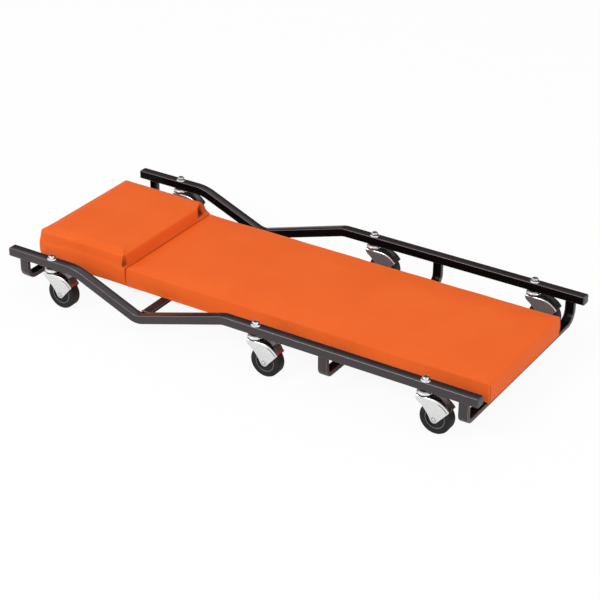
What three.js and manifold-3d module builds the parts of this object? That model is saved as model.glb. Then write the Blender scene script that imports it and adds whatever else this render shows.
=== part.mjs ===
import * as THREE from "three";
import { mergeVertices } from "three/addons/utils/BufferGeometryUtils.js";
import Module from "manifold-3d";

const wasm = await Module();
wasm.setup();

// A low rolling bed for lying under work: two dipped tube rails on six swivel casters, with a
// padded bed and a thicker headrest slung between them on pressed channels.
// X runs from the head end to the foot end, Y across, Z up from the floor, in millimetres.

// Driving dimensions
const overallLength = 1016;
const railSpacing = 420;
const tubeWidth = 19;
const tubeHeight = 17;
const tubeWall = 1.5;
const barWidth = 19;
const channelDepth = 7.5;
const channelWall = 2;
const wheelDiameter = 60;
const treadWidth = 21;
const casterTrail = 25.3;
const crownClearance = 6.5;
const sheetThickness = 2;
const raceHeight = 8.2;
const padWidth = 286;
const padHeight = 39;
const headrestLength = 216;
const headrestHeight = 61.5;
const runningGap = 0.3;
const overrun = 4;

// Rails: lengths along X of the flat, the fall and the rise, and how far the dip goes down
const headFlatLength = 157.6;
const dipFall = 142.9;
const dipRise = 195.5;
const dipDepth = 59.2;
const headBendRadius = 90;
const dipBendRadius = 36;
const footBendRadius = 45;
const tubeCornerRadius = 2.2;
const plugFlange = 2.2;
const plugFlangeRound = 0.8;
const plugInsert = 12;

// Cross members: how far they hang under the rails, and where they stand
const crossDrop = 37.7;
const crossBendRadius = 11;
const headCrossInset = 31;
const footCrossInset = 30;
const middleCrossFromFoot = 309;
const tieBarPastDip = 11.5;
const tieBarThickness = 6;
const barEdgeRound = 0.8;

// Pads
const headrestInset = 6;
const footPadInset = 15;
const boardThickness = 9;
const coverThickness = 1.5;
const padDrawIn = 2;
const padShoulder = 3.5;
const padCrown = 2;
const padCorner = 9;
const headrestDrawIn = 3;
const headrestShoulder = 10;
const headrestCrown = 2.5;
const headrestCorner = 10;
const headrestLean = 12;
const headrestTaper = 9;
const crownRidge = 40;

// Casters: places, then the sizes of each piece
const headSwivelClearance = 3.4;
const footSwivelClearance = 10.4;
const middleCasterPastDip = 68.7;
const stemRadius = 4;
const stemHeadRadius = 7.5;
const stemHeadHeight = 2;
const stemChamfer = 0.6;
const stemEndRecess = 0.7;
const raceRadius = 15;
const raceWall = 1.4;
const raceRoof = 2.7;
const raceSlope = 4;
const raceGap = 0.6;
const ballRadius = 1.9;
const nutFlangeRadius = 9.2;
const nutFlangeHeight = 1.6;
const nutFlangeLip = 0.8;
const nutAcrossFlats = 13;
const nutHexHeight = 4;
const nutCollarRadius = 5.8;
const nutHeight = 7.3;
const nutChamfer = 0.9;
const forkFront = 12;
const forkBrowStart = 2.6;
const forkBrowDepth = 10.5;
const forkBrowSetback = 3.5;
const forkWaistDepth = 22.6;
const forkWaistSetback = 21.6;
const forkRearRadius = 36.6;
const forkRearAngle = THREE.MathUtils.degToRad(37.6);
const forkBossRadius = 7.4;
const forkCornerRadius = 3;
const dishRadius = 14.6;
const dishLip = 1.1;
const crownRearClearance = 9.5;
const crownSetback = 5.3;
const axleRadius = 4;
const axleHeadRadius = 6;
const axleHeadFlat = 3;
const axleHeadHeight = 1.6;
const bossGap = 0.5;
const tyreGap = 0.9;
const hubRadius = 19.6;
const hubRimWidth = 1.8;
const hubRimInset = 0.6;
const hubDishDepth = 3.9;
const hubBossRadius = 7.4;
const tyreShoulder = 2.4;
const tyreShoulderShare = 0.3;
const tyreSideWidth = 4.2;

// Brake levers, on two of the casters
const brakePinRadius = 1.25;
const brakePinClearance = 1.35;
const brakePinAngle = THREE.MathUtils.degToRad(52.8);
const brakeBossRadius = 2;
const brakeToeOut = 9.3;
const brakeToeDown = 3.4;
const brakeHeelOut = 1.3;
const brakeHeelUp = 10.6;
const brakePlate = 2.5;
const brakeRound = 0.6;
const brakeSlotAngle = THREE.MathUtils.degToRad(57);

// Facets
const bendSteps = 2;
const crossBendSteps = 3;
const crownSteps = 6;
const roundSteps = 2;
const wheelSteps = 24;
const hubSteps = 16;
const turnedSteps = 10;
const hexSides = 6;
const cornerSteps = 3;
const ballSides = 5;
const mergeDistance = 1e-4;

// Heights and places that follow from the sizes above
const wheelRadius = wheelDiameter / 2;
const forkTop = wheelDiameter + crownClearance + sheetThickness;
const railBottom = forkTop + raceHeight;
const railTop = railBottom + tubeHeight;
const railCentre = railBottom + tubeHeight / 2;
const headEnd = -overallLength / 2;
const footEnd = overallLength / 2;
const headBendX = headEnd + headFlatLength;
const dipX = headBendX + dipFall;
const footBendX = dipX + dipRise;
const crossTop = railBottom - crossDrop;
const headCrossX = headEnd + headCrossInset;
const footCrossX = footEnd - footCrossInset;
const middleCrossX = footEnd - middleCrossFromFoot;
const forkInner = treadWidth + 2 * tyreGap;
const forkOuter = forkInner + 2 * sheetThickness;
const sweepRadius = casterTrail + wheelRadius;
const headCasterX = headCrossX + barWidth / 2 + headSwivelClearance + sweepRadius;
const footCasterX = footCrossX - barWidth / 2 - footSwivelClearance - sweepRadius;
const middleCasterX = footBendX + middleCasterPastDip;
const casterPlaces = [["head", headCasterX], ["middle", middleCasterX], ["foot", footCasterX]];
const sidePlaces = [["near", -railSpacing / 2], ["far", railSpacing / 2]];
const axle = new THREE.Vector2(casterTrail, wheelRadius);
const crownRadius = wheelRadius + crownRearClearance + sheetThickness;
const crownCentre = new THREE.Vector2(casterTrail - crownSetback, forkTop - crownRadius);

const finishes = {
  charcoalPaint: { color: 0x3d393c, roughness: 0.45, metalness: 0.35 },
  blackPlastic: { color: 0x2c2b2d, roughness: 0.55, metalness: 0 },
  orangeVinyl: { color: 0xec6832, roughness: 0.5, metalness: 0 },
  foam: { color: 0xe9dcae, roughness: 0.95, metalness: 0 },
  plywood: { color: 0xb98d5c, roughness: 0.8, metalness: 0 },
  brightZinc: { color: 0xd9dbdc, roughness: 0.22, metalness: 0.9 },
  bearingSteel: { color: 0x9a9da0, roughness: 0.3, metalness: 0.9 },
  hubPlastic: { color: 0x3a3b3d, roughness: 0.5, metalness: 0 },
  blackRubber: { color: 0x242424, roughness: 0.7, metalness: 0 },
  redLever: { color: 0xa8312b, roughness: 0.45, metalness: 0.3 },
};

const xAxis = new THREE.Vector3(1, 0, 0);
const yAxis = new THREE.Vector3(0, 1, 0);
const zAxis = new THREE.Vector3(0, 0, 1);
const outlineInXZ = new THREE.Matrix4().makeBasis(xAxis, zAxis, yAxis.clone().negate());
const outlineInYZ = new THREE.Matrix4().makeBasis(yAxis, zAxis, xAxis);

function toSolid(geometry) {
  geometry.deleteAttribute("normal");
  geometry.deleteAttribute("uv");
  const merged = mergeVertices(geometry, mergeDistance);
  const vertProperties = merged.attributes.position.array;
  const triVerts = Uint32Array.from(merged.index.array);
  return new wasm.Manifold(new wasm.Mesh({ numProp: 3, vertProperties, triVerts }));
}

function toGeometry(solid) {
  const { vertProperties, triVerts } = solid.getMesh();
  const geometry = new THREE.BufferGeometry();
  geometry.setAttribute("position", new THREE.BufferAttribute(vertProperties, 3));
  geometry.setIndex(new THREE.BufferAttribute(triVerts, 1));
  geometry.computeVertexNormals();
  return geometry;
}

// A closed outline through corners [x, y, radius]; a corner without a radius stays sharp
function roundedShape(corners) {
  const shape = new THREE.Shape();
  corners.forEach(([x, y, radius = 0], index) => {
    if (radius === 0) {
      if (index === 0) shape.moveTo(x, y);
      else shape.lineTo(x, y);
      return;
    }
    const [beforeX, beforeY] = corners.at(index - 1);
    const [afterX, afterY] = corners[(index + 1) % corners.length];
    const back = new THREE.Vector2(beforeX - x, beforeY - y).normalize();
    const ahead = new THREE.Vector2(afterX - x, afterY - y).normalize();
    const halfAngle = Math.acos(back.dot(ahead)) / 2;
    const reach = radius / Math.tan(halfAngle);
    const centre = back.clone().add(ahead).setLength(radius / Math.sin(halfAngle));
    const from = back.clone().multiplyScalar(reach).sub(centre).angle();
    const to = ahead.clone().multiplyScalar(reach).sub(centre).angle();
    shape.absarc(x + centre.x, y + centre.y, radius, from, to, back.cross(ahead) > 0);
  });
  return shape;
}

// The outline of a bar of one thickness that follows a centre line [x, y, bend radius]
function bandShape(centreLine, thickness) {
  const sides = [1, -1].map((side) => centreLine.map(([x, y, radius = 0], index) => {
    const [beforeX, beforeY] = centreLine[Math.max(index - 1, 0)];
    const [afterX, afterY] = centreLine[Math.min(index + 1, centreLine.length - 1)];
    const arriving = new THREE.Vector2(x - beforeX, y - beforeY).normalize();
    const leaving = new THREE.Vector2(afterX - x, afterY - y).normalize();
    const along = arriving.clone().add(leaving).normalize();
    const isEnd = index === 0 || index === centreLine.length - 1;
    const stretch = isEnd ? 1 : 1 / along.dot(arriving);
    const shift = side * stretch * thickness / 2;
    const bend = Math.sign(arriving.cross(leaving)) * side;
    const cornerRadius = radius === 0 ? 0 : radius - bend * thickness / 2;
    return [x - along.y * shift, y + along.x * shift, cornerRadius];
  }));
  return roundedShape([...sides[0], ...sides[1].reverse()]);
}

function rectangle(left, right, low, high) {
  return roundedShape([[left, low], [right, low], [right, high], [left, high]]);
}

// A prism centred on its own plane, with its two rims rounded inside the outline
function prism(shape, width, frame, rimRadius = 0, arcSteps = bendSteps) {
  const geometry = new THREE.ExtrudeGeometry(shape, {
    depth: width - 2 * rimRadius,
    curveSegments: arcSteps,
    bevelEnabled: rimRadius > 0,
    bevelSize: rimRadius,
    bevelOffset: -rimRadius,
    bevelThickness: rimRadius,
    bevelSegments: roundSteps,
  });
  geometry.translate(0, 0, rimRadius - width / 2);
  geometry.applyMatrix4(frame);
  return toSolid(geometry);
}

// A turned piece: profile [radius, place on the axis] round the Z axis, or round Y
function turned(profile, steps = turnedSteps, roundY = false) {
  const geometry = new THREE.LatheGeometry(profile.map(([r, h]) => new THREE.Vector2(r, h)), steps);
  if (!roundY) geometry.rotateX(Math.PI / 2);
  return toSolid(geometry);
}

function rod(radius, low, high, steps = turnedSteps, roundY = false) {
  return turned([[0, low], [radius, low], [radius, high], [0, high]], steps, roundY);
}

function mirroredProfile(half) {
  const far = half.map(([r, h]) => [r, -h]).reverse();
  return [...far, ...half, far[0]];
}

function cutAll(body, cutters) {
  return cutters.reduce((rest, cutter) => rest.subtract(cutter), body);
}

// Rails

const railLine = [
  [headEnd - overrun, railCentre],
  [headBendX, railCentre, headBendRadius],
  [dipX, railCentre - dipDepth, dipBendRadius],
  [footBendX, railCentre, footBendRadius],
  [footEnd + overrun, railCentre],
];

function railTube() {
  const boreHeight = tubeHeight - 2 * tubeWall;
  const boreWidth = tubeWidth - 2 * tubeWall;
  const outside = prism(bandShape(railLine, tubeHeight), tubeWidth, outlineInXZ, tubeCornerRadius);
  const length = overallLength - 2 * plugFlange;
  const squareEnds = prism(rectangle(-length / 2, length / 2, 0, railTop + overrun), railSpacing, outlineInXZ);
  const inside = prism(bandShape(railLine, boreHeight), boreWidth, outlineInXZ);
  const stemHoles = casterPlaces.map(([, x]) => (
    rod(stemRadius + runningGap, railBottom - overrun, railTop + overrun).translate([x, 0, 0])
  ));
  return cutAll(outside.intersect(squareEnds), [inside, ...stemHoles]);
}

// The plug's flange faces +X and its insert runs back into the tube
function endPlug() {
  const across = tubeWidth / 2;
  const up = tubeHeight / 2;
  const inset = tubeWall + runningGap;
  const flangeShape = roundedShape([
    [-across, -up, tubeCornerRadius],
    [across, -up, tubeCornerRadius],
    [across, up, tubeCornerRadius],
    [-across, up, tubeCornerRadius],
  ]);
  const insertShape = rectangle(inset - across, across - inset, inset - up, up - inset);
  const domed = prism(flangeShape, 2 * plugFlange, outlineInYZ, plugFlangeRound, 1);
  const outerHalf = prism(rectangle(-tubeWidth, tubeWidth, -tubeHeight, tubeHeight), plugFlange, outlineInYZ);
  const flange = domed.intersect(outerHalf.translate([plugFlange / 2, 0, 0]));
  const insert = prism(insertShape, plugInsert, outlineInYZ).translate([-plugInsert / 2, 0, 0]);
  return flange.add(insert);
}

// Cross members

// A U on the YZ plane: a leg up to each rail's underside and a level run below the pads
function crossLine(inward, rise) {
  const leg = railSpacing / 2 - inward;
  const run = crossTop - channelDepth / 2 + inward;
  const bend = crossBendRadius - inward;
  const top = railBottom + rise;
  return [[-leg, top], [-leg, run, bend], [leg, run, bend], [leg, top]];
}

// A shallow channel bent to that U, with its open side towards the pads
function crossMember() {
  const inward = (channelWall + overrun) / 2;
  const outside = bandShape(crossLine(0, 0), channelDepth);
  const trough = bandShape(crossLine(inward, overrun), channelDepth - channelWall + overrun);
  return prism(outside, barWidth, outlineInYZ, barEdgeRound, crossBendSteps)
    .subtract(prism(trough, barWidth - 2 * channelWall, outlineInYZ, 0, crossBendSteps));
}

// A straight flat bar between the rails where they are lowest, level with the channels
function tieBar() {
  const shape = rectangle(-barWidth / 2, barWidth / 2, crossTop - tieBarThickness, crossTop);
  return prism(shape, railSpacing - tubeWidth, outlineInXZ).translate([dipX + tieBarPastDip, 0, 0]);
}

// Pads

const jointX = headEnd + headrestInset + headrestLength;
const mainPad = {
  headX: jointX + runningGap / 2,
  footX: footEnd - footPadInset,
  bottom: crossTop,
  edge: crossTop + padHeight,
  drawIn: padDrawIn,
  shoulder: padShoulder,
  crown: padCrown,
  corner: padCorner,
  lean: 0,
  taper: 0,
  sideSteps: 4,
  shoulderSteps: 2,
  crownSteps: 4,
};
const headrestPad = {
  headX: headEnd + headrestInset,
  footX: jointX - runningGap / 2,
  bottom: crossTop,
  edge: crossTop + headrestHeight,
  drawIn: headrestDrawIn,
  shoulder: headrestShoulder,
  crown: headrestCrown,
  corner: headrestCorner,
  lean: headrestLean,
  taper: headrestTaper,
  sideSteps: 5,
  shoulderSteps: 4,
  crownSteps: 4,
};

// One level of a cushion: a round-cornered rectangle, narrower and shorter at the foot where it leans
function cushionRing(pad, inset, z) {
  const leaning = THREE.MathUtils.clamp((z - mainPad.edge) / (pad.edge - mainPad.edge || 1), 0, 1);
  const foot = pad.footX - inset - pad.lean * leaning;
  const head = pad.headX + inset;
  const headHalf = padWidth / 2 - inset;
  const footHalf = headHalf - pad.taper * leaning;
  const corners = [[foot, -footHalf], [foot, footHalf], [head, headHalf], [head, -headHalf]];
  return corners.flatMap(([x, y], index) => (
    Array.from({ length: cornerSteps + 1 }, (_, step) => {
      const angle = (index - 1 + step / cornerSteps) * Math.PI / 2;
      const centreX = x - Math.sign(x - (head + foot) / 2) * pad.corner;
      const centreY = y - Math.sign(y) * pad.corner;
      return [centreX + pad.corner * Math.cos(angle), centreY + pad.corner * Math.sin(angle), z];
    })
  ));
}

// A closed solid through rings of equal length, from the lowest to the highest
function loft(rings) {
  const count = rings[0].length;
  const middle = (ring) => [0, 1, 2].map((axis) => ring.reduce((sum, point) => sum + point[axis], 0) / count);
  const points = [...rings.flat(), middle(rings[0]), middle(rings.at(-1))];
  const bottomCentre = points.length - 2;
  const topCentre = points.length - 1;
  const faces = [];
  for (let side = 0; side < count; side += 1) {
    const next = (side + 1) % count;
    faces.push(bottomCentre, next, side);
    for (let level = 0; level < rings.length - 1; level += 1) {
      const low = level * count;
      const high = low + count;
      faces.push(low + side, low + next, high + next, low + side, high + next, high + side);
    }
    const last = (rings.length - 1) * count;
    faces.push(topCentre, last + side, last + next);
  }
  const geometry = new THREE.BufferGeometry();
  geometry.setAttribute("position", new THREE.Float32BufferAttribute(points.flat(), 3));
  geometry.setIndex(faces);
  return toSolid(geometry);
}

// A cushion's form: drawn in at hem and seam, swollen between, a round shoulder and a crowned top
function cushionForm(pad, inward, bottom, skirt = 0) {
  const edge = pad.edge - inward;
  const shoulder = Math.max(pad.shoulder - inward, inward);
  const rings = skirt > 0 ? [cushionRing(pad, inward + pad.drawIn, bottom - skirt)] : [];
  for (let step = 0; step <= pad.sideSteps; step += 1) {
    const share = step / pad.sideSteps;
    const inset = inward + pad.drawIn * (1 - Math.sin(Math.PI * share));
    rings.push(cushionRing(pad, inset, bottom + share * (edge - shoulder - bottom)));
  }
  for (let step = 1; step <= pad.shoulderSteps; step += 1) {
    const angle = step / pad.shoulderSteps * Math.PI / 2;
    const inset = inward + pad.drawIn + shoulder * (1 - Math.cos(angle));
    rings.push(cushionRing(pad, inset, edge - shoulder + shoulder * Math.sin(angle)));
  }
  const reach = Math.min(padWidth, pad.footX - pad.headX) / 2 - crownRidge;
  for (let step = 1; step <= pad.crownSteps; step += 1) {
    const share = step / pad.crownSteps;
    const inset = inward + pad.drawIn + shoulder + share * reach;
    rings.push(cushionRing(pad, inset, edge + pad.crown * share * (2 - share)));
  }
  return loft(rings);
}

function padCover(pad) {
  const outside = cushionForm(pad, 0, pad.bottom);
  return outside.subtract(cushionForm(pad, coverThickness, pad.bottom, overrun));
}

function padFoam(pad) {
  const inside = cushionForm(pad, coverThickness + runningGap, pad.bottom);
  const boardTop = pad.bottom + boardThickness + runningGap;
  const aboveBoard = rectangle(headEnd, footEnd, boardTop, boardTop + pad.edge);
  return inside.intersect(prism(aboveBoard, railSpacing, outlineInXZ));
}

function padBoard(pad) {
  const inset = pad.drawIn + coverThickness + runningGap;
  return loft([0, boardThickness].map((height) => cushionRing(pad, inset, pad.bottom + height)));
}

// Casters, each in its own frame with the swivel axis on Z and the floor at zero

// The threaded stem carries the upper race and ends below the crown in a riveted head
function casterStem() {
  const headTop = forkTop - sheetThickness - runningGap;
  const raceInside = raceRadius - raceWall;
  const raceLip = forkTop + raceGap;
  const raceCeiling = railBottom - raceRoof;
  const top = railTop + nutHeight - stemEndRecess;
  return turned([
    [0, headTop - stemHeadHeight],
    [stemHeadRadius - stemChamfer, headTop - stemHeadHeight],
    [stemHeadRadius, headTop - stemHeadHeight + stemChamfer],
    [stemHeadRadius, headTop],
    [stemRadius, headTop],
    [stemRadius, raceCeiling],
    [raceInside, raceCeiling],
    [raceInside, raceLip],
    [raceRadius, raceLip],
    [raceRadius, raceCeiling],
    [raceRadius - raceSlope, railBottom],
    [stemRadius, railBottom],
    [stemRadius, top - stemChamfer],
    [stemRadius - stemChamfer, top],
    [0, top],
  ]);
}

// The row of balls between the two races, as the ring that they fill
function swivelBalls() {
  const ringRadius = (stemRadius + raceRadius - raceWall) / 2;
  const section = Array.from({ length: ballSides + 1 }, (_, side) => {
    const angle = side % ballSides / ballSides * 2 * Math.PI - Math.PI / 2;
    return [ringRadius + ballRadius * Math.cos(angle), ballRadius * Math.sin(angle)];
  });
  return turned(section).translate([0, 0, forkTop + runningGap + ballRadius]);
}

// A flange lock nut: hexagon with a washer flange below and a round collar above
function stemNut() {
  const hexRadius = nutAcrossFlats / Math.sqrt(3);
  const flange = turned([
    [0, 0],
    [nutFlangeRadius, 0],
    [nutFlangeRadius, nutFlangeLip],
    [hexRadius, nutFlangeHeight],
    [0, nutFlangeHeight],
  ]);
  const hexagon = rod(hexRadius, 0, nutFlangeHeight + nutHexHeight, hexSides);
  const collar = turned([
    [0, 0],
    [nutCollarRadius, 0],
    [nutCollarRadius, nutHeight - nutChamfer],
    [nutCollarRadius - nutChamfer, nutHeight],
    [0, nutHeight],
  ]);
  return flange.add(hexagon).add(collar)
    .subtract(rod(stemRadius + runningGap, -overrun, nutHeight + overrun));
}

// The point where a line from outside touches a circle, on its left or right (+1 or -1)
function tangentPoint(from, centre, radius, side) {
  const toCentre = centre.clone().sub(from);
  const turn = Math.asin(radius / toCentre.length()) * side;
  const length = Math.sqrt(toCentre.lengthSq() - radius * radius);
  return toCentre.rotateAround(new THREE.Vector2(), turn).setLength(length).add(from);
}

function polar(centre, radius, angle) {
  return new THREE.Vector2(Math.cos(angle), Math.sin(angle)).multiplyScalar(radius).add(centre);
}

// A block whose top is the crown's line: level over the swivel, then an arc down behind the wheel
function crownBlock(inset, width, rimRadius, frontX) {
  const radius = crownRadius - inset;
  const shape = new THREE.Shape();
  shape.moveTo(-frontX, forkTop - inset);
  shape.lineTo(crownCentre.x, forkTop - inset);
  shape.absarc(crownCentre.x, crownCentre.y, radius, Math.PI / 2, -Math.PI / 2, true);
  shape.lineTo(-frontX, crownCentre.y - radius);
  return prism(shape, width, outlineInXZ, rimRadius, crownSteps);
}

// The side plate's teardrop: brow, waisted front edge, round boss at the axle, straight rear edge
function sidePlateShape() {
  const brow = new THREE.Vector2(forkBrowSetback - forkFront, forkTop - forkBrowDepth);
  const waist = new THREE.Vector2(forkWaistSetback - forkFront, forkTop - forkWaistDepth);
  const rear = polar(axle, forkRearRadius, forkRearAngle);
  const frontTouch = tangentPoint(waist, axle, forkBossRadius, -1);
  const rearTouch = tangentPoint(rear, axle, forkBossRadius, 1);
  const pastRear = rear.clone().add(rear.clone().sub(rearTouch).setLength(crownRadius));
  const top = forkTop + overrun;
  const browTop = forkTop - forkBrowStart;
  const shape = new THREE.Shape();
  shape.moveTo(-forkFront, top);
  shape.lineTo(-forkFront, browTop);
  shape.quadraticCurveTo(-forkFront, (browTop + brow.y) / 2, brow.x, brow.y);
  shape.quadraticCurveTo(waist.x, waist.y, frontTouch.x, frontTouch.y);
  shape.absarc(axle.x, axle.y, forkBossRadius,
    frontTouch.clone().sub(axle).angle(), rearTouch.clone().sub(axle).angle(), false);
  shape.lineTo(pastRear.x, pastRear.y);
  shape.lineTo(pastRear.x, Math.max(top, pastRear.y));
  shape.lineTo(pastRear.x, Math.max(top, pastRear.y) + overrun);
  shape.lineTo(-forkFront, Math.max(top, pastRear.y) + overrun);
  return shape;
}

// The pressed fork: two teardrop plates joined by a crown that follows the wheel
function casterFork(braked) {
  const reach = crownRadius + forkFront;
  const plates = prism(sidePlateShape(), forkOuter + 2 * overrun, outlineInXZ);
  const pressing = crownBlock(0, forkOuter, forkCornerRadius, reach).intersect(plates);
  const hollow = crownBlock(sheetThickness, forkInner, 0, reach + overrun);
  const dish = turned([
    [0, forkTop - sheetThickness],
    [forkOuter / 2 - forkCornerRadius, forkTop - sheetThickness],
    [dishRadius, forkTop - dishLip],
    [dishRadius, forkTop],
    [0, forkTop],
  ]);
  const bores = [
    rod(stemRadius + runningGap, forkTop - sheetThickness - overrun, forkTop + overrun),
    rod(axleRadius + runningGap, -forkOuter, forkOuter, turnedSteps, true).translate([axle.x, 0, axle.y]),
  ];
  if (braked) {
    const pin = brakePivot();
    bores.push(brakeSlot());
    bores.push(rod(brakePinRadius + runningGap, -forkOuter, forkOuter, turnedSteps, true)
      .translate([pin.x, 0, pin.y]));
  }
  return cutAll(pressing.subtract(hollow).add(dish), bores);
}

function brakePivot() {
  return polar(axle, wheelRadius + brakePinClearance + brakePinRadius, brakePinAngle);
}

// The gap in the crown that the lever works through, between the side plates
function brakeSlot() {
  const reach = 2 * crownRadius;
  const start = polar(crownCentre, reach, brakeSlotAngle);
  const end = polar(crownCentre, reach, -brakeSlotAngle);
  const shape = roundedShape([[crownCentre.x, crownCentre.y], [end.x, end.y], [start.x, start.y]]);
  return prism(shape, forkInner, outlineInXZ);
}

// The brake lever: a plate from toe to heel with a boss that turns on a cross pin
function brakeLever() {
  const pivot = brakePivot();
  const toe = pivot.clone().add(new THREE.Vector2(brakeToeOut, -brakeToeDown));
  const heel = pivot.clone().add(new THREE.Vector2(brakeHeelOut, brakeHeelUp));
  const along = heel.clone().sub(toe).normalize();
  const inward = new THREE.Vector2(-along.y, along.x).multiplyScalar(brakePlate);
  const foot = toe.clone().add(along.clone().multiplyScalar(pivot.clone().sub(toe).dot(along)));
  const webLow = foot.clone().sub(along.clone().multiplyScalar(brakeBossRadius));
  const webHigh = foot.clone().add(along.clone().multiplyScalar(brakeBossRadius));
  const plateShape = roundedShape([
    [toe.x, toe.y],
    [heel.x, heel.y],
    [heel.x + inward.x, heel.y + inward.y],
    [toe.x + inward.x, toe.y + inward.y],
  ]);
  const bossLow = pivot.clone().sub(along.clone().multiplyScalar(brakeBossRadius));
  const bossHigh = pivot.clone().add(along.clone().multiplyScalar(brakeBossRadius));
  const webShape = roundedShape([
    [webLow.x, webLow.y],
    [webHigh.x, webHigh.y],
    [bossHigh.x, bossHigh.y],
    [bossLow.x, bossLow.y],
  ]);
  const width = forkInner - 2 * bossGap;
  const half = width / 2;
  const pinHalf = forkOuter / 2;
  return prism(plateShape, width, outlineInXZ, brakeRound)
    .add(prism(webShape, width - 2 * brakeRound, outlineInXZ))
    .add(rod(brakeBossRadius, -half, half, turnedSteps, true).translate([pivot.x, 0, pivot.y]))
    .add(rod(brakePinRadius, -pinHalf, pinHalf, turnedSteps, true).translate([pivot.x, 0, pivot.y]));
}

// A riveted axle with a low domed head outside each side plate
function wheelAxle() {
  const face = forkOuter / 2;
  return turned([
    [0, -face - axleHeadHeight],
    [axleHeadFlat, -face - axleHeadHeight],
    [axleHeadRadius, -face],
    [axleRadius, -face],
    [axleRadius, face],
    [axleHeadRadius, face],
    [axleHeadFlat, face + axleHeadHeight],
    [0, face + axleHeadHeight],
  ], turnedSteps, true);
}

// The hub: a bored boss, a dished web on each side and a raised rim ring under the tyre
function wheelHub() {
  const bossHalf = forkInner / 2 - bossGap;
  const rimHalf = treadWidth / 2 - hubRimInset;
  const dishHalf = rimHalf - hubDishDepth;
  const dishOuter = hubRadius - 2 * hubRimWidth;
  return turned(mirroredProfile([
    [hubRadius, rimHalf],
    [hubRadius - hubRimWidth, rimHalf],
    [dishOuter, dishHalf],
    [hubBossRadius + hubRimWidth, dishHalf],
    [hubBossRadius, bossHalf],
    [axleRadius + runningGap, bossHalf],
  ]), hubSteps, true);
}

// The tyre: flat sides by the hub, then a round shoulder up to the tread
function wheelTyre() {
  const half = treadWidth / 2;
  const bore = hubRadius + runningGap;
  const cut = tyreShoulder * tyreShoulderShare;
  return turned(mirroredProfile([
    [wheelRadius, half - tyreShoulder],
    [wheelRadius - cut, half - cut],
    [bore + tyreSideWidth, half],
    [bore, half - hubRimInset],
  ]), wheelSteps, true);
}

function named(name, solid, finish) {
  const mesh = new THREE.Mesh(toGeometry(solid), new THREE.MeshStandardMaterial(finishes[finish]));
  mesh.name = name;
  return mesh;
}

const creeper = new THREE.Group();

const tube = railTube();
const plug = endPlug();
for (const [side, y] of sidePlaces) {
  const rail = named(`${side}_rail`, tube, "charcoalPaint");
  rail.position.set(0, y, 0);
  creeper.add(rail);
  for (const [end, x, turn] of [["head", headEnd + plugFlange, Math.PI], ["foot", footEnd - plugFlange, 0]]) {
    const endMesh = named(`${side}_${end}_plug`, plug, "blackPlastic");
    endMesh.position.set(x, y, railCentre);
    endMesh.rotation.z = turn;
    creeper.add(endMesh);
  }
}

for (const [place, x] of [["head", headCrossX], ["middle", middleCrossX], ["foot", footCrossX]]) {
  const bar = named(`${place}_cross_member`, crossMember(), "charcoalPaint");
  bar.position.set(x, 0, 0);
  creeper.add(bar);
}
creeper.add(named("dip_tie_bar", tieBar(), "charcoalPaint"));

for (const [place, pad] of [["main", mainPad], ["headrest", headrestPad]]) {
  creeper.add(named(`${place}_pad_board`, padBoard(pad), "plywood"));
  creeper.add(named(`${place}_pad_foam`, padFoam(pad), "foam"));
  creeper.add(named(`${place}_pad_cover`, padCover(pad), "orangeVinyl"));
}

const stem = casterStem();
const nut = stemNut();
const balls = swivelBalls();
const plainFork = casterFork(false);
const brakedFork = casterFork(true);
const lever = brakeLever();
const axlePin = wheelAxle();
const hub = wheelHub();
const tyre = wheelTyre();
for (const [side, y] of sidePlaces) {
  for (const [place, x] of casterPlaces) {
    const caster = new THREE.Group();
    caster.position.set(x, y, 0);
    const name = `${side}_${place}`;
    const braked = side === "near" && place !== "foot";
    const stemNutMesh = named(`${name}_stem_nut`, nut, "brightZinc");
    stemNutMesh.position.z = railTop;
    caster.add(named(`${name}_stem`, stem, "brightZinc"), stemNutMesh);
    caster.add(named(`${name}_swivel_balls`, balls, "bearingSteel"));
    caster.add(named(`${name}_fork`, braked ? brakedFork : plainFork, "brightZinc"));
    if (braked) caster.add(named(`${name}_brake_lever`, lever, "redLever"));
    const wheel = new THREE.Group();
    wheel.position.set(axle.x, 0, axle.y);
    wheel.add(named(`${name}_axle`, axlePin, "brightZinc"));
    wheel.add(named(`${name}_hub`, hub, "hubPlastic"));
    wheel.add(named(`${name}_tyre`, tyre, "blackRubber"));
    caster.add(wheel);
    creeper.add(caster);
  }
}

export default creeper;
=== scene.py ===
import math

import bmesh
import bpy
from mathutils import Matrix, Vector, noise


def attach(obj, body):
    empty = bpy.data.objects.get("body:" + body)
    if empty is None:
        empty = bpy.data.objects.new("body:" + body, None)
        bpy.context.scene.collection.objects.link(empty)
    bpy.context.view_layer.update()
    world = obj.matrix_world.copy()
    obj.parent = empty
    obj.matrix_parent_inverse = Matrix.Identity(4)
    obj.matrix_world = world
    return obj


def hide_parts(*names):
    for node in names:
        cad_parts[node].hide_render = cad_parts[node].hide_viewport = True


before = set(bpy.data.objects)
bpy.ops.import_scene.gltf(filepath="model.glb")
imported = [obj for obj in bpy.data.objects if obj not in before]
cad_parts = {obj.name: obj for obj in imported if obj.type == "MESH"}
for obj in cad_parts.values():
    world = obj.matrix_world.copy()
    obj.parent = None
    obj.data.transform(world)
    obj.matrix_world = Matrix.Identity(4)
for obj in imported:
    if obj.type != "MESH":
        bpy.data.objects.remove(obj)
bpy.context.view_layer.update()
print("frame loaded,", len(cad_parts), "nodes")

# Shapes are drawn in millimetres and come to metres when they become a piece
mm = 0.001


def hexColour(code):
    parts = [int(code[i:i + 2], 16) / 255 for i in (1, 3, 5)]
    return [p / 12.92 if p <= 0.04045 else ((p + 0.055) / 1.055) ** 2.4 for p in parts] + [1]


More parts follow.
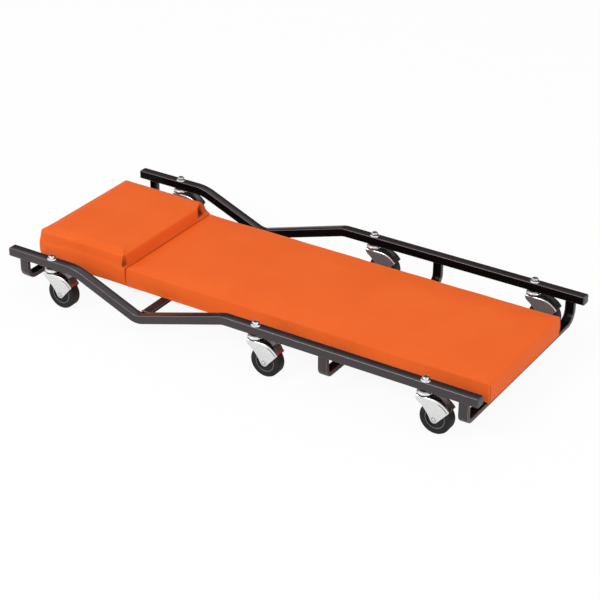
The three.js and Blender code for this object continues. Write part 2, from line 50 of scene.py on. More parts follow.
# Adds a node; an input takes a value, a colour's hex code, a socket or a node's first output
def addNode(tree, kind, inputs=None, **settings):
    node = tree.nodes.new(kind)
    for key, value in settings.items():
        setattr(node, key, value)
    for key, value in (inputs or {}).items():
        if isinstance(value, bpy.types.Node):
            value = value.outputs[0]
        if isinstance(value, bpy.types.NodeSocket):
            tree.links.new(value, node.inputs[key])
        else:
            isHex = isinstance(value, str) and value.startswith("#")
            node.inputs[key].default_value = hexColour(value) if isHex else value
    return node


def linked(name, data):
    thing = bpy.data.objects.new(name, data)
    bpy.context.collection.objects.link(thing)
    return thing


# The mesh of an object with its modifiers worked in
def evaluated(thing):
    return bpy.data.meshes.new_from_object(thing.evaluated_get(bpy.context.evaluated_depsgraph_get()))


def clamp(value):
    return min(max(value, 0), 1)


def rectangle(wide, tall, *rest):
    return [(x, y, *rest) for x, y in ((-wide, -tall), (wide, -tall), (wide, tall), (-wide, tall))]


def startMaterial(name):
    material = bpy.data.materials.new(name)
    material.use_nodes = True
    material.node_tree.nodes.clear()
    place = addNode(material.node_tree, "ShaderNodeTexCoord").outputs
    return material, material.node_tree, place


view = {
    "place": (1.6268, -2.5530, 1.7039),
    "azimuth": 32.23, "elevation": 28.94, "roll": 0.36,   # degrees
    "lens": 109.185, "film": 36, "clip": (0.1, 60),   # millimetres, metres
}


def aimCamera():
    azimuth, elevation, roll = (math.radians(view[key]) for key in ("azimuth", "elevation", "roll"))
    back = Vector((math.sin(azimuth) * math.cos(elevation),
                   -math.cos(azimuth) * math.cos(elevation), math.sin(elevation)))
    right = Vector((math.cos(azimuth), math.sin(azimuth), 0))
    up = back.cross(right)
    rolledRight = right * math.cos(roll) + up * math.sin(roll)
    rolledUp = up * math.cos(roll) - right * math.sin(roll)
    data = bpy.data.cameras.new("camera")
    data.lens = view["lens"]
    data.sensor_width = view["film"]
    data.clip_start, data.clip_end = view["clip"]
    camera = linked("camera", data)
    turned = Matrix((rolledRight, rolledUp, back)).transposed().to_4x4()
    camera.matrix_world = Matrix.Translation(view["place"]) @ turned
    bpy.context.scene.camera = camera


aimCamera()
print("camera placed")


# A cloudy pattern of a size in millimetres, and how far each point is between two of its levels
def clouds(tree, place, size, detail, low, high):
    pattern = addNode(tree, "ShaderNodeTexNoise", {
        "Vector": place["Object"], "Scale": 1 / (size * mm), "Detail": detail,
    })
    amount = addNode(tree, "ShaderNodeMapRange", {"Value": pattern, "From Min": low, "From Max": high})
    return pattern, amount


# Ends a material in a shader whose bump follows the given heights, so many millimetres deep
def surfaced(material, colour, roughness, heights, strength, depth, others):
    tree = material.node_tree
    bump = addNode(tree, "ShaderNodeBump", {
        "Height": heights, "Strength": strength, "Distance": depth * mm,
    })
    shader = addNode(tree, "ShaderNodeBsdfPrincipled", {
        "Base Color": colour, "Roughness": roughness, "Normal": bump, **others,
    })
    addNode(tree, "ShaderNodeOutputMaterial", {"Surface": shader})
    return material


# Powder coat on steel: a hard glossy near-black skin whose fine orange peel softens what it
# reflects; along a bar's long corners a paler line is painted on as a highlight
def powderCoat(name, across, shadeWhere="", level=0.5):
    material, tree, place = startMaterial(name)
    patches, amount = clouds(tree, place, 60, 5, 0.3, 0.7)
    colour = addNode(tree, "ShaderNodeMix", {0: amount, 6: "#2a2125", 7: "#31272a"}, data_type="RGBA")
    rough = addNode(tree, "ShaderNodeMapRange", {"Value": patches, "To Min": 0.16, "To Max": 0.26})
    # a long corner is where the surface turns half way between the bar's side and its top
    turn = addNode(tree, "ShaderNodeSeparateXYZ", {0: place["Normal"]}).outputs[across]
    square = addNode(tree, "ShaderNodeMath", {0: turn, 1: turn}, operation="MULTIPLY")
    offHalf = addNode(tree, "ShaderNodeMath", {0: square, 1: 0.5}, operation="SUBTRACT")
    size = addNode(tree, "ShaderNodeMath", {0: offHalf}, operation="ABSOLUTE")
    paintedCornerHighlight = addNode(tree, "ShaderNodeMapRange", {
        "Value": size, "From Min": 0.42, "From Max": 0.2, "To Min": 0.0, "To Max": 0.3,
    })
    # painted highlight: the long corners are mixed towards pale grey
    colour = addNode(tree, "ShaderNodeMix", {
        0: paintedCornerHighlight, 6: colour.outputs[2], 7: "#a59c9c",
    }, data_type="RGBA")
    if shadeWhere:   # painted shade: the far rail's face towards the pads and the inside of a channel go near black, with less reflection
        if shadeWhere == "face":
            inner = addNode(tree, "ShaderNodeMapRange", {
                "Value": turn, "From Min": -0.75, "From Max": -0.95, "To Min": 0.0, "To Max": 1.0,
            })
        else:
            inner = addNode(tree, "ShaderNodeAttribute", attribute_name="hollow").outputs["Fac"]
        colour = addNode(tree, "ShaderNodeMix", {
            0: inner, 6: colour.outputs[2], 7: "#0b090a",
        }, data_type="RGBA")
        level = addNode(tree, "ShaderNodeMapRange", {"Value": inner, "To Min": 0.5, "To Max": 0.05})
    # real orange peel is about 0.5 mm, drawn at 1.5 mm to show
    peel = addNode(tree, "ShaderNodeTexNoise", {
        "Vector": place["Object"], "Scale": 1 / (1.5 * mm), "Detail": 2,
    })
    return surfaced(material, colour.outputs[2], rough, peel, 0.12, 0.2,
                    {"IOR": 1.5, "Specular IOR Level": level})


# Coated upholstery vinyl: a soft satin orange with a pressed leather grain, and painted shade deep in
# its folds
def coatedVinyl():
    material, tree, place = startMaterial("orangeUpholsteryVinyl")
    patches, amount = clouds(tree, place, 110, 4, 0.3, 0.7)
    colour = addNode(tree, "ShaderNodeMix", {0: amount, 6: "#e66226", 7: "#eb672a"}, data_type="RGBA")
    # painted shade: where the attribute is, the orange is mixed towards dark brown
    fold = addNode(tree, "ShaderNodeAttribute", attribute_name="fold")
    colour = addNode(tree, "ShaderNodeMix", {
        0: fold.outputs["Fac"], 6: colour.outputs[2], 7: "#4a2108",
    }, data_type="RGBA")
    # pressed grain is about 0.8 mm, drawn at 1.8 mm to show
    grain = addNode(tree, "ShaderNodeTexVoronoi", {"Vector": place["Object"], "Scale": 1 / (1.8 * mm)},
                    feature="SMOOTH_F1")
    creases = addNode(tree, "ShaderNodeTexNoise", {
        "Vector": place["Object"], "Scale": 1 / (16 * mm), "Detail": 3,
    })
    heights = addNode(tree, "ShaderNodeMath", {0: creases, 1: 1.5, 2: grain},
                      operation="MULTIPLY_ADD")
    rough = addNode(tree, "ShaderNodeMapRange", {"Value": patches, "To Min": 0.36, "To Max": 0.46})
    return surfaced(material, colour.outputs[2], rough, heights, 0.1, 0.3,
                    {"IOR": 1.5, "Specular IOR Level": 0.04})


# Bright zinc plate on pressed steel: pale and a little milky, with faint draw marks, a darker grey on
# the crown behind the swivel where the first attribute is, and painted shade, near black and not metal,
# where the second one is
def zincPlate(name, pale, dark, roughness):
    material, tree, place = startMaterial(name)
    marks, amount = clouds(tree, place, 4, 6, 0.3, 0.8)
    colour = addNode(tree, "ShaderNodeMix", {0: amount, 6: pale, 7: dark}, data_type="RGBA").outputs[2]
    for attribute, code in (("stain", "#8d8786"), ("grime", "#151312")):
        amount = addNode(tree, "ShaderNodeAttribute", attribute_name=attribute)
        colour = addNode(tree, "ShaderNodeMix", {
            0: amount.outputs["Fac"], 6: colour, 7: code,
        }, data_type="RGBA").outputs[2]
    rough = addNode(tree, "ShaderNodeMapRange", {
        "Value": marks, "To Min": roughness - 0.05, "To Max": roughness + 0.08,
    })
    # painted shade also takes the metal away, so it reflects less
    bare = addNode(tree, "ShaderNodeMath", {0: 1.0, 1: amount.outputs["Fac"]}, operation="SUBTRACT")
    return surfaced(material, colour, rough, marks, 0.05, 0.1, {"Metallic": bare})


# Moulded stuff, rubber or hard plastic: an even colour with a fine matt grain and faint scuffs
def mouldedStuff(name, base, scuffed, roughness, grainSize, specular=0.4):
    material, tree, place = startMaterial(name)
    _, amount = clouds(tree, place, 14, 7, 0.45, 0.75)
    colour = addNode(tree, "ShaderNodeMix", {0: amount, 6: base, 7: scuffed}, data_type="RGBA")
    rough = addNode(tree, "ShaderNodeMapRange", {
        "Value": amount, "To Min": roughness, "To Max": roughness + 0.12,
    })
    grain = addNode(tree, "ShaderNodeTexNoise", {
        "Vector": place["Object"], "Scale": 1 / (grainSize * mm), "Detail": 2,
    })
    return surfaced(material, colour.outputs[2], rough, grain, 0.15, 0.15,
                    {"IOR": 1.5, "Specular IOR Level": specular})


# Rotary-cut poplar plywood: long pale grain along the pads
def poplarPly():
    material, tree, place = startMaterial("poplarPlywood")
    stretched = addNode(tree, "ShaderNodeMapping", {"Vector": place["Object"], "Scale": (6, 60, 60)})
    grain = addNode(tree, "ShaderNodeTexNoise", {"Vector": stretched, "Scale": 3.0, "Detail": 8})
    rings = addNode(tree, "ShaderNodeTexWave", {
        "Vector": stretched, "Scale": 0.5, "Distortion": 6.0, "Detail": 4.0,
    }, bands_direction="Y")
    amount = addNode(tree, "ShaderNodeMath", {0: grain, 1: 0.6, 2: rings.outputs["Fac"]},
                     operation="MULTIPLY_ADD")
    colour = addNode(tree, "ShaderNodeMix", {0: amount, 6: "#a57b4c", 7: "#c79e6c"}, data_type="RGBA")
    return surfaced(material, colour.outputs[2], 0.75, grain, 0.2, 0.3, {"IOR": 1.5})


finish = {
    "charcoal_paint": powderCoat("charcoalPowderCoat", "Y"),
    # painted shade inside the channels
    "channel_paint": powderCoat("charcoalChannelCoat", "X", shadeWhere="hollow"),
    "tie_bar_paint": powderCoat("charcoalDullCoat", "X", level=0.12),
    # painted shade on the far rail's face towards the pads
    "far_rail_paint": powderCoat("charcoalRubbedCoat", "Y", shadeWhere="face"),
    "orange_vinyl": coatedVinyl(),
    "bright_zinc": zincPlate("brightZincPlate", "#e9eaea", "#dcdddd", 0.24),
    "nut_zinc": zincPlate("brightNutZinc", "#eef0f1", "#c4c7ca", 0.12),
    "bearing_steel": zincPlate("hardenedBallSteel", "#b4b6b9", "#8f9295", 0.18),
    "black_plastic": mouldedStuff("blackPolyethylene", "#3c3a3b", "#57545a", 0.42, 1.2),
    "hub_plastic": mouldedStuff("blackPolypropylene", "#1b1b1c", "#2b2b2d", 0.4, 1.0, specular=0.25),
    "hub_ring": mouldedStuff("rubbedPolypropylene", "#5c5c5e", "#6e6e70", 0.45, 1.0),
    "black_rubber": mouldedStuff("blackRubber", "#171717", "#232222", 0.5, 1.4, specular=0.22),
    "red_lever": mouldedStuff("redEnamel", "#a52a26", "#8a2622", 0.32, 2.0),
    "lever_tread": mouldedStuff("brownRubberTread", "#3d3735", "#4a4340", 0.5, 1.2),
    "plywood": poplarPly(),
}
print("finishes made")


# Corners (x, y, rounding) become a line with arcs of so many steps
def roundLine(corners, steps=4, closed=True):
    line = []
    count = len(corners)
    for i, corner in enumerate(corners):
        here = Vector(corner[:2])
        radius = corner[2] if len(corner) > 2 else 0
        isEnd = not closed and i in (0, count - 1)
        if radius <= 0 or isEnd:
            line.append(tuple(here))
            continue
        back = (Vector(corners[i - 1][:2]) - here).normalized()
        ahead = (Vector(corners[(i + 1) % count][:2]) - here).normalized()
        half = math.acos(max(-1, min(1, back.dot(ahead)))) / 2
        if half > math.pi / 2 - 1e-4:
            line.append(tuple(here))
            continue
        reach = radius / math.tan(half)
        centre = here + (back + ahead).normalized() * (radius / math.sin(half))
        start, end = here + back * reach - centre, here + ahead * reach - centre
        turn = start.angle_signed(end)
        for step in range(steps + 1):
            arm = start.copy()
            arm.rotate(Matrix.Rotation(-turn * step / steps, 2))
            line.append(tuple(centre + arm))
    return line


mergeWithin = 0.01


# Merges the points that lie together and turns the faces outward
def cleaned(mesh, distance):
    tidy = bmesh.new()
    tidy.from_mesh(mesh)
    bmesh.ops.remove_doubles(tidy, verts=tidy.verts, dist=distance)
    bmesh.ops.recalc_face_normals(tidy, faces=tidy.faces)
    tidy.to_mesh(mesh)
    tidy.free()
    return mesh


def meshFrom(name, points, faces):
    mesh = bpy.data.meshes.new(name)
    mesh.from_pydata(points, [], faces)
    return cleaned(mesh, mergeWithin)


# The faces between rings of so many points, where each row's ring meets the next one's
def ringFaces(rows, rings, steps):
    faces = []
    for row in range(rows):
        low, high = row * steps, (row + 1) % rings * steps
        for step in range(steps):
            after = (step + 1) % steps
            faces.append((low + step, low + after, high + after, high + step))
    return faces


# A turned piece from its profile (radius, place on the axis, rounding)
def turnedMesh(name, profile, steps=48, axis="Z", roundSteps=3):
    onAxis = profile[0][0] == 0 and profile[-1][0] == 0
    line = roundLine(profile, roundSteps, closed=not onAxis)
    points = []
    for radius, along in line:
        for step in range(steps):
            angle = 2 * math.pi * step / steps
            across, up = radius * math.cos(angle), radius * math.sin(angle)
            points.append((across, up, along) if axis == "Z" else (across, along, up))
    return meshFrom(name, points, ringFaces(len(line) - 1 if onAxis else len(line), len(line), steps))


# A prism across Y from an outline in X and Z
def sideMesh(name, outline, low, high):
    count = len(outline)
    points = [(x, y, z) for y in (low, high) for x, z in outline]
    faces = [tuple(range(count)), tuple(range(2 * count - 1, count - 1, -1))]
    faces += [(i, (i + 1) % count, (i + 1) % count + count, i + count) for i in range(count)]
    return meshFrom(name, points, faces)


# The mesh with its modifiers worked in
def shapedBy(mesh, *stack):
    maker = linked("maker", mesh)
    for settings in stack:
        modifier = maker.modifiers.new(settings["type"].title(), settings["type"])
        for key, value in settings.items():
            if key != "type":
                setattr(modifier, key, value)
    made = evaluated(maker)
    made.name = mesh.name
    bpy.data.objects.remove(maker)
    return made


def joined(name, *meshes):
    whole = bmesh.new()
    for mesh in meshes:
        whole.from_mesh(mesh)
    mesh = bpy.data.meshes.new(name)
    whole.to_mesh(mesh)
    whole.free()
    return mesh


# Gives every point of a mesh a value from its place
def markPoints(mesh, name, rule):
    marks = mesh.attributes.get(name) or mesh.attributes.new(name, "FLOAT", "POINT")
    marks.data.foreach_set("value", [float(rule(*vertex.co)) for vertex in mesh.vertices])


# Puts a mesh in its place as a piece that rides on a body and stands for CAD nodes
def addPiece(name, mesh, body, slot, *nodes, place=(0, 0, 0), material=None, sharp=35):
    mesh = mesh.copy()
    mesh.name = name
    mesh.transform(Matrix.Scale(mm, 4) @ Matrix.Translation(place))
    if material or not mesh.materials:
        mesh.materials.clear()
        mesh.materials.append(finish[material or slot])
    mesh.shade_smooth()
    mesh.set_sharp_from_angle(angle=math.radians(sharp))
    piece = linked(name, mesh)
    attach(piece, body)
    if nodes:
        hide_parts(*nodes)
    return piece


# A geometry tree with named inputs, and its group input node
def startTree(name, sizes):
    tree = bpy.data.node_groups.new(name, "GeometryNodeTree")
    tree.interface.new_socket("Geometry", in_out="INPUT", socket_type="NodeSocketGeometry")
    tree.interface.new_socket("Geometry", in_out="OUTPUT", socket_type="NodeSocketGeometry")
    for label, kind in sizes.items():
        tree.interface.new_socket(label, in_out="INPUT", socket_type="NodeSocket" + kind)
    return tree, addNode(tree, "NodeGroupInput").outputs


def endTree(tree, shape, material):
    real = addNode(tree, "GeometryNodeRealizeInstances", {"Geometry": shape})
    coloured = addNode(tree, "GeometryNodeSetMaterial", {"Geometry": real, "Material": material})
    addNode(tree, "NodeGroupOutput", {"Geometry": coloured})
    return tree


# Runs a tree on a source mesh and gives back a plain mesh
def runTree(tree, source, values):
    maker = linked("maker", source)
    modifier = maker.modifiers.new("Geometry", "NODES")
    modifier.node_group = tree
    for item in tree.interface.items_tree:
        if item.in_out == "INPUT" and item.name in values:
            modifier[item.identifier] = values[item.name]
    made = evaluated(maker)
    bpy.data.objects.remove(maker)
    return made


# A line of points (x, y, z, bend radius) for a tree to follow
def lineMesh(name, points, closed=False):
    count = len(points)
    mesh = bpy.data.meshes.new(name)
    edges = [(i, (i + 1) % count) for i in range(count if closed else count - 1)]
    mesh.from_pydata([point[:3] for point in points], edges, [])
    bend = mesh.attributes.new("bend", "FLOAT", "POINT")
    bend.data.foreach_set("value", [point[3] if len(point) > 3 else 0.0 for point in points])
    return mesh


# Sweeps a rounded section along a bent line; both carry their bend radii in the attribute bend
def sweepTree():
    tree, given = startTree("bentBar", {
        "Section": "Object", "Bend Steps": "Int", "Edge Steps": "Int", "Side": "Vector",
        "Material": "Material",
    })
    bend = addNode(tree, "GeometryNodeInputNamedAttribute", {"Name": "bend"}, data_type="FLOAT")
    path = addNode(tree, "GeometryNodeMeshToCurve", {"Mesh": given["Geometry"]})
    bentPath = addNode(tree, "GeometryNodeFilletCurve", {
        "Curve": path, "Radius": bend, "Count": given["Bend Steps"],
    }, mode="POLY")
    turnedPath = addNode(tree, "GeometryNodeSetCurveNormal", {
        "Curve": bentPath, "Normal": given["Side"],
    }, mode="FREE")
    sectionMesh = addNode(tree, "GeometryNodeObjectInfo", {"Object": given["Section"]})
    section = addNode(tree, "GeometryNodeMeshToCurve", {"Mesh": sectionMesh.outputs["Geometry"]})
    roundSection = addNode(tree, "GeometryNodeFilletCurve", {
        "Curve": section, "Radius": bend, "Count": given["Edge Steps"],
    }, mode="POLY")
    bar = addNode(tree, "GeometryNodeCurveToMesh", {
        "Curve": turnedPath, "Profile Curve": roundSection, "Fill Caps": True,
    })
    return endTree(tree, bar, given["Material"])


bentBar = sweepTree()


def sweptMesh(name, path, section, side, bendSteps, edgeSteps=4):
    sectionObject = linked("section", lineMesh("section", section, closed=True))
    mesh = runTree(bentBar, lineMesh(name, path), {
        "Section": sectionObject, "Bend Steps": bendSteps, "Edge Steps": edgeSteps, "Side": side,
        "Material": finish["charcoal_paint"],
    })
    bpy.data.objects.remove(sectionObject)
    mesh.name = name
    return cleaned(mesh, mergeWithin / 10)


# Rails: square-edged tube, dipped between the headrest and the middle of the bed
rail = {
    "width": 19, "height": 17, "edge": 1.7,
    "centre": 85.2, "spacing": 420, "end": 505.8,
    "headBend": (-350.4, 90), "dip": (-207.5, 36), "footBend": (-12.0, 45),   # place and radius
    "depth": 59.2, "bendSteps": 14,
}


def addRails():
    half = rail["spacing"] / 2
    high, low = rail["centre"], rail["centre"] - rail["depth"]
    section = rectangle(rail["width"] / 2, rail["height"] / 2, 0, rail["edge"])
    for side, y in (("near", -half), ("far", half)):
        path = [
            (-rail["end"], y, high),
            (rail["headBend"][0], y, high, rail["headBend"][1]),
            (rail["dip"][0], y, low, rail["dip"][1]),
            (rail["footBend"][0], y, high, rail["footBend"][1]),
            (rail["end"], y, high),
        ]
        mesh = sweptMesh("railTube", path, section, (0, 1, 0), rail["bendSteps"])
        addPiece(side + "Rail", mesh, "frame", "charcoal_paint", side + "_rail",
                 material="far_rail_paint" if side == "far" else None)


# Cross members: pressed channel bent to a U, open towards the pads
crossMember = {
    "width": 19, "depth": 8.5, "wall": 2, "legs": 420, "top": 76.7, "runTop": 39,
    "backEdge": 1.5, "lipEdge": 0.7, "floorEdge": 0.9, "bendSteps": 16, "edgeSteps": 3,
    # x, near bend's radius and far bend's radius
    "places": {"head": (-477, 19, 19), "middle": (199, 15, 17), "foot": (478, 13.5, 24)},
}


def addCrossMembers():
    wide, deep = crossMember["width"] / 2, -crossMember["depth"] / 2
    inside, floor = wide - crossMember["wall"], -crossMember["wall"] - deep
    leg, top = crossMember["legs"] / 2, crossMember["top"]
    run = crossMember["runTop"] + deep
    back, lip, bed = crossMember["backEdge"], crossMember["lipEdge"], crossMember["floorEdge"]
    section = [
        (-wide, -deep, 0, back), (wide, -deep, 0, back),
        (wide, deep, 0, lip), (inside, deep, 0, lip), (inside, floor, 0, bed),
        (-inside, floor, 0, bed), (-inside, deep, 0, lip), (-wide, deep, 0, lip),
    ]
    for place, (x, nearBend, farBend) in crossMember["places"].items():
        path = [(x, -leg, top), (x, -leg, run, nearBend), (x, leg, run, farBend), (x, leg, top)]
        mesh = sweptMesh(place + "Channel", path, section, (1, 0, 0),
                         crossMember["bendSteps"], crossMember["edgeSteps"])
        # marks the inside of the channel, where shade is painted
        markPoints(mesh, "hollow", lambda px, py, pz: abs(px - x) < inside + 0.1)
        addPiece(place + "CrossMember", mesh, "frame", "charcoal_paint", place + "_cross_member",
                 material="channel_paint")


# The flat tie bar where the rails are lowest
tieBar = {"x": -196, "width": 19, "thickness": 6, "top": 39, "reach": 200.5, "edge": 1.0}


def addTieBar():
    thick = tieBar["thickness"] / 2
    section = rectangle(tieBar["width"] / 2, thick, 0, tieBar["edge"])
    path = [(tieBar["x"], y, tieBar["top"] - thick) for y in (-tieBar["reach"], tieBar["reach"])]
    mesh = sweptMesh("tieBar", path, section, (1, 0, 0), 1)
    addPiece("dipTieBar", mesh, "frame", "charcoal_paint", "dip_tie_bar", material="tie_bar_paint")


# Weld beads: flattened drops laid one over the other along a short line
def weldTree():
    tree, given = startTree("weldBead", {
        "Pitch": "Float", "Drop Radius": "Float", "Seed": "Int", "Material": "Material",
    })
    path = addNode(tree, "GeometryNodeMeshToCurve", {"Mesh": given["Geometry"]})
    spaced = addNode(tree, "GeometryNodeResampleCurve", {
        "Curve": path, "Length": given["Pitch"],
    }, mode="LENGTH")
    drop = addNode(tree, "GeometryNodeMeshUVSphere", {
        "Segments": 8, "Rings": 5, "Radius": given["Drop Radius"],
    })
    size = addNode(tree, "FunctionNodeRandomValue", {
        "Min": (0.8, 0.8, 0.7), "Max": (1.15, 1.15, 0.95), "Seed": given["Seed"],
    }, data_type="FLOAT_VECTOR")
    laid = addNode(tree, "GeometryNodeInstanceOnPoints", {
        "Points": spaced, "Instance": drop, "Scale": size,
    })
    return endTree(tree, laid, given["Material"])


weld = {"pitch": 1.5, "legDrop": 1.4, "legSunk": 0.3, "barDrop": 2.1, "barSunk": 0.4, "inset": 1.0}


def addWelds():
    tree = weldTree()
    beads = []

    def lay(radius, x, wide, y, z):
        beads.append(runTree(tree, lineMesh("weldLine", [(x - wide, y, z), (x + wide, y, z)]), {
            "Pitch": weld["pitch"], "Drop Radius": radius, "Seed": len(beads) + 1,
            "Material": finish["charcoal_paint"],
        }))

    wide, top = crossMember["width"] / 2 - weld["inset"], crossMember["top"] - weld["legSunk"]
    for x, _, _ in crossMember["places"].values():
        for y in (-crossMember["legs"] / 2, crossMember["legs"] / 2):
            for across in (-crossMember["depth"] / 2, crossMember["depth"] / 2):
                lay(weld["legDrop"], x, wide, y + across, top)
    wide, top = tieBar["width"] / 2 - weld["inset"], tieBar["top"] - weld["barSunk"]
    for side in (-1, 1):
        lay(weld["barDrop"], tieBar["x"], wide, side * tieBar["reach"], top)
    addPiece("weldBeads", joined("welds", *beads), "frame", "charcoal_paint")


addRails()
addCrossMembers()
addTieBar()
addWelds()
print("rails, bars and welds made")


plug = {
    "width": 19, "height": 17, "corner": 2.4, "flange": 2.2, "round": 0.9,
    "insert": 12, "inset": 1.8, "insertCorner": 1,
}


def addPlugs():
    wide, tall = plug["width"] / 2, plug["height"] / 2
    outline = roundLine(rectangle(wide, tall, plug["corner"]), 5)
    inner = rectangle(wide - plug["inset"], tall - plug["inset"], plug["insertCorner"])
    flange = sideMesh("flange", outline, 0, plug["flange"])
    rim = {edge.index for edge in flange.edges
           if all(abs(flange.vertices[v].co.y - plug["flange"]) < 0.01 for v in edge.vertices)}
    weights = flange.attributes.new("bevel_weight_edge", "FLOAT", "EDGE")
    weights.data.foreach_set("value", [1.0 if edge.index in rim else 0.0 for edge in flange.edges])
    flange = shapedBy(flange, {
        "type": "BEVEL", "width": plug["round"], "segments": 4, "limit_method": "WEIGHT",
    })
    insert = sideMesh("insert", roundLine(inner, 3), -plug["insert"], 0)
    mesh = joined("plug", flange, insert)
    for side, y in (("near", -rail["spacing"] / 2), ("far", rail["spacing"] / 2)):
        for end, x, turn in (("head", -rail["end"], 90), ("foot", rail["end"], -90)):
            placed = mesh.copy()
            placed.transform(Matrix.Rotation(math.radians(turn), 4, "Z"))
            addPiece(f"{side}{end.title()}Plug", placed, "frame", "black_plastic", f"{side}_{end}_plug",
                     place=(x, y, rail["centre"]))


addPlugs()
print("plugs made")


# "tucks" are the folds at a foot face's corners: side, start and end of the pocket from that side,
# its depth, lowest and highest level, and how much painted shade it gets inside
mainPad = {
    "node": "main_pad", "head": -288.0, "foot": 493, "half": 143, "bottom": 39, "edge": 78,
    "drawIn": 1.6, "shoulder": 3, "crown": 2, "corner": {"head": 2, "foot": 4.5},
    "lean": 0, "taper": 0, "cap": 1.6,
    "pressed": "head", "pressedEdge": 1.4,
    "lines": [0, 0.8, 1.6, 2.4, 3.2, 4, 4.8, 5.4, 5.9, 6.6, 8, 11, 16, 23],
    "sides": [40.6, 45, 50, 56, 62, 68, 72, 75],
    "tucks": [(-1, 5.0, 6.6, 1.8, 40, 76, 0.6), (1, 5.0, 6.6, 1.8, 40, 76, 0.6)],
}
headrest = {
    "node": "headrest_pad", "head": -502.5, "foot": -288.4, "half": 143.4, "bottom": 39, "edge": 101.8,
    "drawIn": 2.4, "shoulder": 4.6, "crown": 2.2, "corner": {"head": 10, "foot": 1.8},
    "lean": 0.6, "taper": 2, "cap": 2.5,
    "pressed": "foot", "pressedEdge": 0,
    "lines": [0, 1, 2, 3, 4, 4.5, 5.2, 7, 9, 11.5, 14, 16.5, 18, 18.7, 21, 26, 31, 36, 40],
    "pulledFrom": (24, 112, 124),   # how near to the foot face, from which y it is pulled back, and from which y it gets painted shade
    "sides": [40.6, 48, 56, 64, 71, 76.2, 78.2, 79.4, 81, 84, 88, 92.5, 97.2],
    "tucks": [(-1, 1.9, 15, 4.2, 78.4, 104, 0.62), (1, 18.2, 39, 9, 78.6, 104, 1.1)],
}
cornerZone = 4   # the grid lines this near to a corner are spread round it
leanFrom = 78   # the headrest leans from the height of the main pad's edge
pressedReach = 14   # how far the pads' pressing on each other is felt along them
gridPitch = 9   # about the size of a square on a pad's top
shoulderSteps = 5
sharpestCorner = 1.5
hemRing = (0.6, 0.5, 0.5)   # further in, further up and less round than the hem


# The place of a boundary point (x, y) of a square-cornered ring on one with round corners
def onRing(x, y, halfX, halfY, zone, toX, toY, radius):
    sideX = abs(abs(x) - halfX) < 1e-6
    fromCorner = (halfY - abs(y)) if sideX else (halfX - abs(x))
    if zone > 0 and fromCorner < zone:
        share = fromCorner / zone
        angle = math.radians(45 - 45 * share if sideX else 45 + 45 * share)
        newX = toX - radius + radius * math.cos(angle)
        newY = toY - radius + radius * math.sin(angle)
        return math.copysign(newX, x), math.copysign(newY, y)
    if sideX:
        return math.copysign(toX, x), y * (toY - radius) / (halfY - zone)
    return x * (toX - radius) / (halfX - zone), math.copysign(toY, y)


